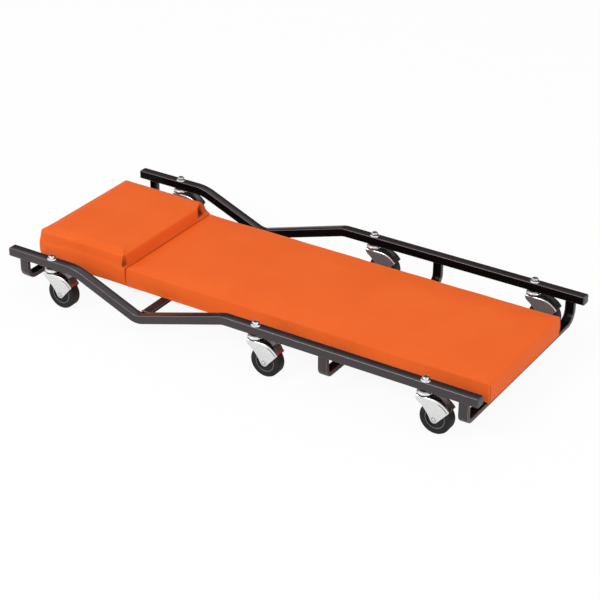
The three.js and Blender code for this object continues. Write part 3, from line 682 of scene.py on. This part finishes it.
def cushionMesh(pad):
    rim, zone = pad["lines"], cornerZone   # grid lines inwards from the shoulder
    halfX, halfY = (pad["foot"] - pad["head"]) / 2, pad["half"]
    middleX = (pad["foot"] + pad["head"]) / 2
    inset = pad["drawIn"] + pad["shoulder"]
    topX, topY = halfX - inset, halfY - inset

    def cornerAt(x, less=0.0):
        return max(pad["corner"]["foot" if x > 0 else "head"] - less, sharpestCorner)

    def stops(half):
        inner = half - rim[-1]
        count = max(2, round(2 * inner / gridPitch))
        between = [-inner + 2 * inner * i / count for i in range(1, count)]
        return [d - half for d in rim] + between + [half - d for d in reversed(rim)]

    xs, ys = stops(topX), stops(topY)
    nx, ny = len(xs), len(ys)
    boundary = [(i, 0) for i in range(nx)] + [(nx - 1, j) for j in range(1, ny)]
    boundary += [(i, ny - 1) for i in range(nx - 2, -1, -1)] + [(0, j) for j in range(ny - 2, 0, -1)]
    points, faces = [], []

    def addPoint(x, y, z, inward=0.0):
        # where the two pads press together the end stays upright, with hardly any rounding
        pressedEnd = halfX if pad["pressed"] == "foot" else -halfX
        if z < leanFrom + 0.1:
            kept = pad["pressedEdge"] if z > leanFrom - 1.5 else 0
            spare = max(inward - kept, 0)
            near = clamp(1 - (abs(pressedEnd - x) - inward) / pressedReach)
            x += math.copysign(spare, pressedEnd) * near
        leaning = clamp((z - leanFrom) / max(pad["edge"] - leanFrom, 1))
        share = (x + halfX) / (2 * halfX)
        y *= 1 - share * pad["taper"] * leaning / halfY
        points.append((middleX + x - share * pad["lean"] * leaning, y, z))
        return len(points) - 1

    # one face of the cushion as a grid whose outer lines follow the round corners
    def addFace(shrink, less, height, crown):
        grid = {}
        for i, x in enumerate(xs):
            for j, y in enumerate(ys):
                ring = min(i, nx - 1 - i, j, ny - 1 - j)
                at = (x, y)
                if ring < len(rim):
                    left = max(zone - rim[ring], 0)
                    here = (topX - rim[ring], topY - rim[ring])
                    at = onRing(x, y, *here, left, *here, cornerAt(x, less) * left / zone)
                at = (at[0] * (topX - shrink) / topX, at[1] * (topY - shrink) / topY)
                swell = (1 - abs(x / topX) ** 4) * (1 - abs(y / topY) ** 4)
                grid[i, j] = addPoint(at[0], at[1], height + crown * swell, inset + shrink)
        for i in range(nx - 1):
            for j in range(ny - 1):
                faces.append((grid[i, j], grid[i + 1, j], grid[i + 1, j + 1], grid[i, j + 1]))
        return [grid[key] for key in boundary]

    def addRing(inward, height, less):
        ring = []
        for i, j in boundary:
            to = (halfX - inward, halfY - inward, cornerAt(xs[i], less))
            x, y = onRing(xs[i], ys[j], topX, topY, zone, *to)
            ring.append(addPoint(x, y, height, inward))
        return ring

    topLess = pad["shoulder"] * 0.6
    rings = [addFace(2 - pad["shoulder"], topLess, pad["bottom"], 0)]
    further, higher, lessRound = hemRing
    rings.append(addRing(pad["drawIn"] + further, pad["bottom"] + higher, lessRound))
    sideTop, low = pad["sides"][-1], pad["sides"][0]
    for height in pad["sides"]:
        bulge = pad["drawIn"] * (1 - math.sin(math.pi * (height - low) / (sideTop - low)))
        rings.append(addRing(bulge, height, 0))
    for step in range(1, shoulderSteps):
        angle = math.pi / 2 * step / shoulderSteps
        rounded = 1 - math.cos(angle)
        inward = pad["drawIn"] + pad["shoulder"] * rounded
        rings.append(addRing(inward, sideTop + pad["shoulder"] * math.sin(angle), topLess * rounded))
    rings.append(addFace(0, topLess, pad["edge"], pad["crown"]))
    for low, high in zip(rings, rings[1:]):
        for k in range(len(low)):
            after = (k + 1) % len(low)
            faces.append((low[k], low[after], high[after], high[k]))
    return meshFrom(pad["node"], points, faces)


# How folds and slack look: the last stretch before a foot face, how much painted shade a crease gets
# above and below the main pad's shoulder, the most painted shade any fold gets, and two waves of slack
# (size and height)
slack = {
    "faceZone": (8, 5), "creaseShade": (0.75, 0.25), "creaseTop": 79.2, "creaseFrom": 76,
    "darkest": 0.95, "waves": ((55, 0.7, 0), (21, 0.25, 300)),
}


# The gift-wrap folds at the corners of a foot face, painted shade in them and in the crease between the
# pads, and small waves of slack
def foldCorners(mesh, pad):
    zoneBack, zoneRise = slack["faceZone"]
    face = pad["foot"] - pad["lean"]
    foldShades = []
    outward = [vertex.normal.copy() for vertex in mesh.vertices]
    for vertex, normal in zip(mesh.vertices, outward):
        x, y, z = (c / mm for c in vertex.co)
        dark = 0
        for side, start, end, depth, low, high, shade in pad["tucks"]:
            fromSide = pad["half"] - side * y
            inFace = clamp((x - (face - zoneBack)) / zoneRise)
            if not start - 0.4 <= fromSide <= end or inFace == 0:
                continue
            share = (1 - max(fromSide - start, 0) / (end - start)) ** 0.7
            fade = clamp((z - low) / 1.2) * clamp((high - z) / 5)
            vertex.co.x -= depth * share * fade * inFace * mm
            # painted shade deep in the tuck, darker low down and near the side
            deep = shade * (1.3 - fromSide / 60 - (z - low) / 40)
            deep *= min(share * 2.6, 1) * min(fade * 1.5, 1) * inFace
            dark = min(max(dark, deep), slack["darkest"])
        # painted shade along the crease between the pads
        creaseShade = slack["creaseShade"][0 if z > slack["creaseFrom"] else 1]
        if pad is headrest:
            nearFace, backFrom, darkFrom = pad["pulledFrom"]
            above = z - leanFrom
            if x > face - nearFace:   # the far top corner is pulled back by its fold
                pulled = clamp((y - backFrom) / 22) * (3 * clamp(above / 2.5) + 8 * max(above / 22, 0))
                vertex.co.x -= pulled * min((x - face + nearFace) / 20, 1) * mm
                # painted shade on the headrest's pulled-back far top corner
                if y > darkFrom and x > face - zoneBack:
                    dark = max(dark, 0.35 * clamp(above / 4))
            if x > pad["foot"] - 0.6:
                dark = max(dark, creaseShade * clamp(slack["creaseTop"] - z))
        elif x < pad["head"] + 0.7:
            dark = max(dark, creaseShade)
        foldShades.append(dark)
        # slack in the cover
        wave = sum(noise.noise(Vector((x, y, z + shift)) / size) * height
                   for size, height, shift in slack["waves"])
        vertex.co += normal * wave * (1 - dark) * mm
    # the painted shade goes to the vinyl as a point attribute
    fold = mesh.attributes.new("fold", "FLOAT", "POINT")
    fold.data.foreach_set("value", foldShades)


cloth = {"hem": 45, "quality": 6, "pressure": 4, "stretch": 40, "bending": 8, "frames": 20}


# Swells a cushion as cloth under air pressure, held at its hem, and caps how far it moves
def swellCushion(piece, cap):
    mesh = piece.data
    held = piece.vertex_groups.new(name="held")
    held.add([v.index for v in mesh.vertices if v.co.z < cloth["hem"] * mm], 1, "REPLACE")
    before = [v.co.copy() for v in mesh.vertices]
    modifier = piece.modifiers.new("Cloth", "CLOTH")
    settings = modifier.settings
    settings.quality = cloth["quality"]
    settings.use_pressure = True
    settings.uniform_pressure_force = cloth["pressure"]
    settings.tension_stiffness = settings.compression_stiffness = cloth["stretch"]
    settings.bending_stiffness = cloth["bending"]
    settings.vertex_group_mass = "held"
    settings.effector_weights.gravity = 0
    modifier.collision_settings.use_collision = False
    scene = bpy.context.scene
    for step in range(1, cloth["frames"] + 1):
        scene.frame_set(step)
    swollen = evaluated(piece)
    farthest = 0
    for vertex, start, end in zip(mesh.vertices, before, swollen.vertices):
        move = end.co - start
        farthest = max(farthest, move.length)
        if move.length > cap * mm:
            move *= cap * mm / move.length
        vertex.co = start + move
    piece.modifiers.clear()
    piece.vertex_groups.clear()
    scene.frame_set(1)
    print(piece.name, "swelled by up to", round(farthest / mm, 2), "mm, capped at", cap)


def addCushions():
    for pad in (mainPad, headrest):
        node = pad["node"]
        piece = addPiece(node.replace("_pad", "Cushion"), cushionMesh(pad), "frame", "orange_vinyl",
                         node + "_cover", node + "_foam", sharp=180)
        swellCushion(piece, pad["cap"])
        foldCorners(piece.data, pad)
        piece.data = shapedBy(piece.data, {"type": "SUBSURF", "levels": 1, "render_levels": 1})
        piece.data.shade_smooth()
        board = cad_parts[node + "_board"].data
        board.materials.clear()
        board.materials.append(finish["plywood"])


addCushions()
print("cushions made")


caster = {
    "places": {"head": -408.8, "middle": 56.7, "foot": 402.8}, "sides": {"near": -210, "far": 210},
    "axle": (25.3, 30), "wheelRadius": 30, "treadHalf": 10.5,
}


# The name of each caster's CAD nodes, of its pieces, and its stem's place on the floor
def eachCaster():
    for side, y in caster["sides"].items():
        for place, x in caster["places"].items():
            yield f"{side}_{place}", side + place.title(), (x, y, 0)


fork = {
    "front": -12, "top": 68.5, "centre": (20, 27), "radius": 41.5, "half": 13.4, "corner": 3, "sheet": 2,
    "browTop": 65.9, "brow": (-8.5, 58), "waist": (9.6, 45.9), "boss": 7.4, "rear": (54.3, 52.33),
    "dish": 14.6, "dishLip": 1.1, "bore": 4.3, "slotAngle": 62, "bevel": 0.35, "bevelFrom": 50,
    # the groove's steps below the round corner, each one's depth and painted shade, and where it starts
    "groove": (3.2, 2.4, 1.7, 1.0, 0.4), "grooveForm": (0, 0.6, 1, 0.6, 0),
    "grooveShadeForm": (0, 0.8, 1, 0.4, 0), "grooveDepth": 0.8, "grooveFrom": 74,
    "grooveRise": 6, "grooveShadeLevel": 0.95, "plateShadeLevel": 0.8, "crownDarkFrom": 9, "merge": 0.02,
    "flatSteps": 12, "arcSteps": 30, "curveSteps": 8, "bossSteps": 15, "tail": 0.5,
    "plateRows": 7, "crownColumns": (-6, -3, 0, 3, 6),
    # from this angle on the plates have no room below the crown, and how the room grows behind it
    "noRoomFrom": 84, "roomLost": 0.6, "roomRise": 4,
}


def touchPoint(start, centre, radius, side):
    toCentre = Vector(centre) - Vector(start)
    length = math.sqrt(toCentre.length_squared - radius * radius)
    toCentre.rotate(Matrix.Rotation(side * math.asin(radius / toCentre.length), 2))
    return Vector(start) + toCentre.normalized() * length


# The fork's lines in its middle plane: stations along the crown (place, way inwards, angle), and
# the teardrop's outline below them with as many points
def forkLines():
    centre, axle = Vector(fork["centre"]), Vector(caster["axle"])
    rearEdge = touchPoint(fork["rear"], axle, fork["boss"], 1)
    waist = Vector(fork["waist"])
    frontEdge = touchPoint(waist, axle, fork["boss"], -1)
    rearWay = (Vector(fork["rear"]) - rearEdge).normalized()
    # where the rear edge's line meets the crown's arc
    offset = rearEdge - centre
    back = offset.dot(rearWay)
    along = -back + math.sqrt(back ** 2 - offset.length_squared + fork["radius"] ** 2)
    crownEnd = rearEdge + rearWay * along
    endAngle = (crownEnd - centre).angle_signed(Vector((1, 0)))
    stations = []
    flatSteps, arcSteps, curveSteps, bossSteps = (
        fork[key + "Steps"] for key in ("flat", "arc", "curve", "boss"))
    for step in range(flatSteps):
        x = fork["front"] + (centre.x - fork["front"]) * step / flatSteps
        stations.append((Vector((x, fork["top"])), Vector((0, -1)), 90))
    for step in range(arcSteps + 1):
        angle = math.pi / 2 + (endAngle - math.pi / 2) * step / arcSteps
        out = Vector((math.cos(angle), math.sin(angle)))
        stations.append((centre + out * fork["radius"], -out, math.degrees(angle)))
    start = Vector((fork["front"], fork["browTop"]))
    brow = Vector(fork["brow"])
    control = Vector((fork["front"], (fork["browTop"] + brow.y) / 2))
    outline = []
    for first, pull, last in ((start, control, brow), (brow, waist, frontEdge)):
        for step in range(curveSteps):
            t = step / curveSteps
            outline.append(first * (1 - t) ** 2 + pull * 2 * t * (1 - t) + last * t * t)
    fromAngle = math.atan2(frontEdge.y - axle.y, frontEdge.x - axle.x)
    toAngle = math.atan2(rearEdge.y - axle.y, rearEdge.x - axle.x)
    if toAngle < fromAngle:
        toAngle += 2 * math.pi
    for step in range(bossSteps):
        angle = fromAngle + (toAngle - fromAngle) * step / bossSteps
        outline.append(axle + Vector((math.cos(angle), math.sin(angle))) * fork["boss"])
    last = crownEnd - rearWay * (fork["corner"] + fork["tail"])
    left = len(stations) - len(outline)
    outline += [rearEdge.lerp(last, step / (left - 1)) for step in range(left)]
    return stations, outline


# The pressed fork as one sheet; a braked one has a slot in its crown, a shaded one gets painted shade on
# its plates
def forkMesh(braked, shadedPlates):
    stations, outline = forkLines()
    half, corner, plateRows = fork["half"], fork["corner"], fork["plateRows"]
    slotTurn = math.degrees(math.acos(1 / 3))   # where round the corner the slot's side is
    cornerAngles = [0, 18, 36, 54, slotTurn, 90]
    plateShade = fork["plateShadeLevel"] * shadedPlates
    points, faces, grime = [], [], []
    # across each station: plate, round corner, crown, and the same down the other side
    for (top, inward, angle), low in zip(stations, outline):
        height = (top + inward * corner - low).length - fork["roomLost"]
        room = 0 if angle > fork["noRoomFrom"] else clamp(height / fork["roomRise"])
        pressed = clamp((fork["grooveFrom"] - angle) / fork["grooveRise"]) * min(room * 5, 1)
        groove = [top + inward * (corner + below * room) for below in fork["groove"]]
        near = [(low.lerp(groove[0], row / plateRows), -half) for row in range(plateRows)]
        near += [(place, -half + fork["grooveDepth"] * pressed * deep)
                 for place, deep in zip(groove, fork["grooveForm"])]
        rowShade = [plateShade] * plateRows
        # painted shade along the groove under the rim
        rowShade += [max(fork["grooveShadeLevel"] * pressed * part, plateShade) for part in fork["grooveShadeForm"]]
        for turn in map(math.radians, cornerAngles):
            across = half - corner + corner * math.cos(turn)
            near.append((top + inward * corner * (1 - math.sin(turn)), -across))
        row = near + [(top, y) for y in fork["crownColumns"]]
        row += [(place, -y) for place, y in reversed(near)]
        grime += rowShade + [0] * (len(row) - len(rowShade))
        points += [(place.x, y, place.y) for place, y in row]
    width = len(row)
    crownFrom = plateRows + len(fork["groove"]) + cornerAngles.index(slotTurn)
    for i in range(len(stations) - 1):
        for j in range(width - 1):
            inCrown = crownFrom <= j < width - 1 - crownFrom
            if braked and inCrown and stations[i][2] <= fork["slotAngle"] + 1e-6:
                continue
            a = i * width + j
            faces.append((a, a + 1, a + width + 1, a + width))
    sheet = bpy.data.meshes.new("sheet")
    sheet.from_pydata(points, [], faces)
    tidy = bmesh.new()
    tidy.from_mesh(sheet)
    stain, shadeLayer = tidy.verts.layers.float.new("stain"), tidy.verts.layers.float.new("grime")
    for vertex in tidy.verts:
        column, station = vertex.index % width, vertex.index // width
        vertex[shadeLayer] = grime[vertex.index]
        onCrown = crownFrom - 1 <= column <= width - crownFrom
        # the crown behind the swivel is marked to be a darker grey
        vertex[stain] = onCrown and stations[station][0].x > fork["crownDarkFrom"]
    bmesh.ops.remove_doubles(tidy, verts=tidy.verts, dist=fork["merge"])
    bmesh.ops.dissolve_degenerate(tidy, edges=tidy.edges, dist=fork["merge"] / 2)
    # the sheet stays whole at the swivel and axle bores, which the stem and the rivets hide
    bmesh.ops.recalc_face_normals(tidy, faces=tidy.faces)
    up = max(tidy.faces, key=lambda face: face.calc_center_median().z)
    if up.normal.z < 0:
        bmesh.ops.reverse_faces(tidy, faces=tidy.faces)
    bmesh.ops.delete(tidy, geom=[v for v in tidy.verts if not v.link_faces], context="VERTS")
    tidy.to_mesh(sheet)
    tidy.free()
    sheet = shapedBy(sheet, {
        "type": "SOLIDIFY", "thickness": fork["sheet"], "offset": -1, "use_even_offset": True,
    }, {
        "type": "BEVEL", "width": fork["bevel"], "segments": 2, "limit_method": "ANGLE",
        "angle_limit": math.radians(fork["bevelFrom"]),
    })
    bore, rim, lip, top = fork["bore"], fork["dish"], fork["dishLip"], fork["top"]
    under, step = top - fork["sheet"], top - 0.5
    dish = turnedMesh("dish", [
        (bore, top, 0.3), (7.3, top, 0.3), (8, step, 0.4), (10.6, step, 0.4), (11.4, top, 0.3),
        (rim, top, 0.5), (rim, top - lip, 0.5), (10.2, under, 1), (bore, under, 0.2),
    ], 64)
    edge, rimFoot = 11, top - lip - 0.1
    # painted shadow under the dish's lip: its outer wall is near black
    markPoints(dish, "grime", lambda x, y, z: 0.9 * (math.hypot(x, y) > edge and z > rimFoot))
    return joined("fork", sheet, dish)


def addForks():
    # the far forks' plates get painted shade
    plain, braked, inner = forkMesh(False, 0), forkMesh(True, 0), forkMesh(False, 1)
    for node, name, here in eachCaster():
        mesh = inner if node.startswith("far") else plain if node.endswith("foot") else braked
        addPiece(name + "Fork", mesh, node + "_swivel_fork", "bright_zinc", node + "_fork", place=here)


addForks()
print("forks made")


# A flanged lock nut: heights above the rail and radii of its flange, its hexagon and its collar
nut = {
    "across": 13, "steps": 96,
    "flange": [(0, 9.2), (0.5, 9.2), (0.9, 9.0), (1.3, 8.4), (1.6, 7.8)],
    "hexagon": [(1.7, 99), (4.8, 99), (5.064, 7.171), (5.328, 6.742), (5.6, 6.3)],
    "collar": [(5.6, 5.9), (6.5, 5.8), (7.0, 5.4), (7.3, 4.9), (7.3, 4.5), (7.0, 4.3), (0, 4.3)],
}


def nutMesh():
    steps = nut["steps"]
    levels = nut["flange"] + nut["hexagon"] + nut["collar"]
    points = []
    for height, radius in levels:
        for step in range(steps):
            angle = 2 * math.pi * step / steps
            here = radius
            if (height, radius) in nut["hexagon"]:   # cut by the cone of the chamfer
                fold = (angle + math.pi / 6) % (math.pi / 3) - math.pi / 6
                here = min(nut["across"] / 2 / math.cos(fold), radius)
            points.append((here * math.cos(angle), here * math.sin(angle), height))
    return meshFrom("nut", points, ringFaces(len(levels), len(levels), steps))


stem = {
    "radius": 4, "head": 7.5, "headTop": 66.2, "headLow": 64.2, "race": 15, "raceLip": 70.5,
    "ceiling": 74, "railBottom": 76.7, "top": 99.2, "railTop": 93.7, "lipInside": 13.6, "cone": 11,
    "threadPitch": 1, "threadDepth": 0.35,
}


def stemMesh():
    radius, head, race, lip = (stem[key] for key in ("radius", "head", "race", "raceLip"))
    low, ceiling, under, top = stem["headLow"], stem["ceiling"], stem["railBottom"] - 0.1, stem["top"]
    threads = []
    height = stem["railTop"] + 5.2
    while height < top - 0.9:   # the few threads that stand past the nut
        threads += [(radius, height), (radius - stem["threadDepth"], height + stem["threadPitch"] / 2)]
        height += stem["threadPitch"]
    return turnedMesh("stem", [
        (0, low), (head, low, 0.6), (head, stem["headTop"], 0.2), (radius, stem["headTop"]),
        (radius, ceiling), (stem["lipInside"], ceiling, 0.8), (stem["lipInside"], lip),
        (race, lip, 0.4), (race, ceiling - 0.6, 1.6), (stem["cone"], under, 0.8), (radius, under),
        *threads, (radius, top - 0.8), (radius - 0.8, top), (2.4, top), (1.9, top - 0.8), (0, top - 1.0),
    ], 64)


ballRow = {"ring": 8.8, "ball": 1.9, "height": 70.7, "count": 14}


# The row of balls between race and crown
def ballTree():
    tree, given = startTree("ballRow", {
        "Ring Radius": "Float", "Ball Radius": "Float", "Height": "Float", "Count": "Int",
        "Material": "Material",
    })
    ring = addNode(tree, "GeometryNodeMeshCircle", {
        "Vertices": given["Count"], "Radius": given["Ring Radius"],
    })
    ball = addNode(tree, "GeometryNodeMeshUVSphere", {
        "Segments": 16, "Rings": 10, "Radius": given["Ball Radius"],
    })
    spread = addNode(tree, "GeometryNodeInstanceOnPoints", {"Points": ring, "Instance": ball})
    lift = addNode(tree, "ShaderNodeCombineXYZ", {"Z": given["Height"]})
    raised = addNode(tree, "GeometryNodeTransform", {"Geometry": spread, "Translation": lift})
    return endTree(tree, raised, given["Material"])


def addStems():
    stemShape, nutShape = stemMesh(), nutMesh()
    threadFrom, coneFrom, race = stem["railTop"] + 3, stem["ceiling"] + 1.2, stem["raceLip"]
    # painted shade on the stem under and inside the rail, at its top and below the race, and in the
    # nut's hole
    markPoints(stemShape, "grime", lambda x, y, z: z > threadFrom or z > coneFrom or z < race + 0.3)
    markPoints(nutShape, "grime", lambda x, y, z: 0.7 * (math.hypot(x, y) < 4.6))
    balls = runTree(ballTree(), bpy.data.meshes.new("empty"), {
        "Ring Radius": ballRow["ring"], "Ball Radius": ballRow["ball"], "Height": ballRow["height"],
        "Count": ballRow["count"], "Material": finish["bearing_steel"],
    })
    for node, name, here in eachCaster():
        addPiece(name + "Stem", stemShape, "frame", "bright_zinc", node + "_stem", place=here)
        addPiece(name + "StemNut", nutShape, "frame", "bright_zinc", node + "_stem_nut",
                 place=(*here[:2], stem["railTop"]), material="nut_zinc", sharp=25)
        addPiece(name + "BallRow", balls, "frame", "bearing_steel", node + "_swivel_balls", place=here)


addStems()
print("stems, nuts and ball rows made")


wheel = {
    "hub": 19.6, "rimHalf": 9.9, "rimWidth": 1.8, "dishHalf": 6.0, "boss": 7.4, "bossHalf": 10.9,
    "bore": 4.3, "tyreBore": 19.9, "shoulder": 1.8, "axleFace": 13.4, "ring": (17.9, 19.5),
    "dishFrom": 1.2, "dishEnd": 3.6, "rimLow": 0.4,
}


def mirrored(half):
    return half + [(r, -h, *rest) for r, h, *rest in reversed(half)]


def hubMesh():
    radius, boss, face, dish = (wheel[key] for key in ("hub", "boss", "bossHalf", "dishHalf"))
    rim = wheel["rimHalf"] - wheel["rimLow"]
    return turnedMesh("hub", mirrored([
        (wheel["bore"], face, 0.3), (boss, face, 0.8), (boss + wheel["dishFrom"], dish, 1.2),
        (radius - wheel["dishEnd"], dish, 1.2), (radius - wheel["rimWidth"], rim, 0.5),
        (radius, rim, 0.2),
    ]), 64, "Y")


def ringMesh():   # the rubbed rim of the hub beside the tyre
    low, high = wheel["rimHalf"] - 0.5, wheel["rimHalf"] + 0.1
    inside, outside = wheel["ring"]
    profile = [(inside, low), (inside, high, 0.25), (outside, high, 0.25), (outside, low)]
    rings = [turnedMesh("ring", [(radius, side * along, *rest) for radius, along, *rest in profile],
                        64, "Y", 2) for side in (-1, 1)]
    return joined("ring", *rings)


def tyreMesh():
    radius, half = caster["wheelRadius"], caster["treadHalf"]
    return turnedMesh("tyre", mirrored([
        (wheel["tyreBore"], half - 0.6, 0.2), (wheel["tyreBore"] + 1.2, half, 0.6),
        (radius - 0.9, half - 0.1, 1.6), (radius, half - wheel["shoulder"], 1.2),
    ]), 96, "Y", 4)


# A pin with a riveted head on each end
def axleMesh():
    face = wheel["axleFace"]
    end = [(4, face), (5.2, face, 0.1), (4.6, face + 0.9, 0.4), (3.2, face + 1.0, 0.3),
           (2.4, face + 1.5, 0.5), (0, face + 1.5)]
    return turnedMesh("axle", [(r, -h, *rest) for r, h, *rest in reversed(end)] + end, 48, "Y", 2)


def addWheels():
    hub, ring, tyre, axle = hubMesh(), ringMesh(), tyreMesh(), axleMesh()
    # painted shade: a grey ring round each rivet head
    markPoints(axle, "grime", lambda x, y, z: 0.5 * (2.5 < math.hypot(x, z) < 4.8))
    for node, name, (x, y, _) in eachCaster():
        here, rides = (x + caster["axle"][0], y, caster["axle"][1]), node + "_wheel"
        addPiece(name + "Hub", hub, rides, "hub_plastic", node + "_hub", place=here)
        addPiece(name + "HubRing", ring, rides, "hub_plastic", place=here, material="hub_ring")
        addPiece(name + "Tyre", tyre, rides, "black_rubber", node + "_tyre", place=here, sharp=60)
        addPiece(name + "Axle", axle, node + "_swivel_fork", "bright_zinc", node + "_axle", place=here)


addWheels()
print("wheels made")


# Brake levers: a red plate from toe to heel that tips on its pin, with a rubber tread
lever = {
    "pivot": (45.01, 55.967), "toe": (54.31, 52.567), "heel": (46.31, 66.567),
    "plate": 2.5, "half": 10.3, "boss": 2, "pin": 1.25, "pinHalf": 12.4,
    "treadFrom": 0.3, "proud": 0.05, "web": 2.4, "webIn": 1.6, "soft": 0.4,
}


def leverMeshes():
    pivot, toe, heel = (Vector(lever[key]) for key in ("pivot", "toe", "heel"))
    along = (heel - toe).normalized()
    inward = Vector((-along.y, along.x))
    plate, half = lever["plate"], lever["half"]

    # a place so far from the toe along the plate and so deep below the tread's face
    def placed(a, b, *rest):
        at = toe + along * a + inward * b
        return (at.x, at.y, *rest)

    length = (heel - toe).length
    start, end = lever["treadFrom"] * length, length - 0.3
    body = [placed(0, plate, 0.5), placed(0, 0.9, 0.4),
            placed(length, 0.9, 0.4), placed(length, plate, 0.5)]
    tread = [placed(start, 1.0, 0.2), placed(start, 0, 0.5), placed(end, 0, 0.5), placed(end, 1.0, 0.2)]
    soften = {
        "type": "BEVEL", "width": lever["soft"], "segments": 3, "limit_method": "ANGLE",
        "angle_limit": math.radians(60),
    }
    pieces = [shapedBy(sideMesh("plate", roundLine(body, 4), -half, half), soften)]
    foot, boss, web = (pivot - toe).dot(along), lever["boss"], lever["web"] / 2
    outline = [placed(foot - boss, plate - 0.3), placed(foot + boss, plate - 0.3),
               tuple(pivot + along * boss), tuple(pivot - along * boss)]
    for middle in (-half + lever["webIn"], half - lever["webIn"]):
        pieces.append(sideMesh("web", outline, middle - web, middle + web))
    for radius, reach in ((boss, half - 0.3), (lever["pin"], lever["pinHalf"])):
        profile = [(0, -reach), (radius, -reach, 0.2), (radius, reach, 0.2), (0, reach)]
        barrel = turnedMesh("barrel", profile, 32, "Y")
        barrel.transform(Matrix.Translation((pivot.x, 0, pivot.y)))
        pieces.append(barrel)
    # the tread's outer end wraps down round the plate
    wrap = [placed(start, 0.4), placed(start, plate - 0.2), placed(end, plate - 0.2), placed(end, 0.4)]
    outer = -half - lever["proud"]
    top = joined("tread", sideMesh("tread", roundLine(tread, 4), outer, half - 1.2),
                 sideMesh("wrap", wrap, outer, -half + 0.5))
    return joined("lever", *pieces), shapedBy(top, soften)


def addLevers():
    body, tread = leverMeshes()
    for place in ("head", "middle"):
        here = (caster["places"][place], caster["sides"]["near"], 0)
        rides, name = f"near_{place}_brake", f"near{place.title()}"
        addPiece(name + "BrakeLever", body, rides, "red_lever", rides + "_lever", place=here)
        addPiece(name + "LeverTread", tread, rides, "red_lever", place=here, material="lever_tread")


addLevers()
print("brake levers made")


# A flat sheet for the stage, which isn't a piece of the part
def addSheet(name, wide, tall, material):
    mesh = bpy.data.meshes.new(name)
    mesh.from_pydata(rectangle(wide, tall, 0), [], [(0, 1, 2, 3)])
    mesh.materials.append(material)
    sheet = linked(name, mesh)
    return sheet


# how much of the floor is plain white to the camera and to metal
floor = {"reach": 12, "toCamera": 0.92, "toMetal": 0.05}


def addFloor():
    material, tree, _ = startMaterial("paleStudioFloor")
    ray = addNode(tree, "ShaderNodeLightPath").outputs
    # metal sees more of the floor's shaded side, under the bed too
    bent = addNode(tree, "ShaderNodeMath", {
        0: ray["Is Glossy Ray"], 1: ray["Is Transmission Ray"],
    }, operation="MAXIMUM")
    some = addNode(tree, "ShaderNodeMath", {0: bent, 1: floor["toMetal"]}, operation="MULTIPLY")
    share = addNode(tree, "ShaderNodeMath", {
        0: ray["Is Camera Ray"], 1: floor["toCamera"], 2: some,
    }, operation="MULTIPLY_ADD")
    matt = addNode(tree, "ShaderNodeBsdfDiffuse", {"Color": "#f2f2f2"})
    white = addNode(tree, "ShaderNodeEmission", {"Color": (1, 1, 1, 1), "Strength": 1.0})
    both = addNode(tree, "ShaderNodeMixShader", {0: share, 1: matt, 2: white})
    addNode(tree, "ShaderNodeOutputMaterial", {"Surface": both})
    addSheet("floor", floor["reach"], floor["reach"], material)


# A dark card high behind the object, which only reflections see: it keeps the tops of the tubes
# and crowns dark, as in the photo
card = {"place": (-0.4, 4.4, 2.3), "across": 13.0, "tall": 3.8}


def addCard():
    material, tree, _ = startMaterial("darkCard")
    dark = addNode(tree, "ShaderNodeEmission", {"Color": "#2c2a2a", "Strength": 1.0})
    addNode(tree, "ShaderNodeOutputMaterial", {"Surface": dark})
    sheet = addSheet("darkCard", card["across"] / 2, card["tall"] / 2, material)
    sheet.data.transform(Matrix.Translation(card["place"]) @ Matrix.Rotation(math.radians(90), 4, "X"))
    for kind in ("camera", "diffuse", "shadow", "transmission"):
        setattr(sheet, "visible_" + kind, False)


worldStrength = 0.78
aim = (0, 0, 0.05)

lights = {
    "key": {"place": (-1.6, -3.2, 2.6), "size": 1.7, "power": 66},
    "fill": {"place": (3.4, -0.6, 1.6), "size": 2.0, "power": 20},
    "top": {"place": (0.2, -0.4, 3.6), "size": 3.0, "power": 5},
}


def addLights():
    for name, lamp in lights.items():
        data = bpy.data.lights.new(name, "AREA")
        data.shape = "DISK"
        data.size = lamp["size"]
        data.energy = lamp["power"]
        light = linked(name, data)
        light.location = lamp["place"]
        toBed = Vector(aim) - light.location
        light.rotation_euler = toBed.to_track_quat("-Z", "Y").to_euler()
    world = bpy.data.worlds.new("studio")
    bpy.context.scene.world = world
    world.use_nodes = True
    tree = world.node_tree
    tree.nodes.clear()
    ray = addNode(tree, "ShaderNodeLightPath").outputs
    seen = addNode(tree, "ShaderNodeMath", {
        0: ray["Is Camera Ray"], 1: ray["Is Glossy Ray"],
    }, operation="MAXIMUM")
    seenToo = addNode(tree, "ShaderNodeMath", {
        0: seen, 1: ray["Is Transmission Ray"],
    }, operation="MAXIMUM")
    soft = addNode(tree, "ShaderNodeBackground", {"Color": (1, 1, 1, 1), "Strength": worldStrength})
    white = addNode(tree, "ShaderNodeBackground", {"Color": (1, 1, 1, 1), "Strength": 1.0})
    both = addNode(tree, "ShaderNodeMixShader", {0: seenToo, 1: soft, 2: white})
    addNode(tree, "ShaderNodeOutputWorld", {"Surface": both})


addFloor()
addCard()
addLights()
bpy.context.scene.view_settings.view_transform = "Standard"
print("floor and light made")
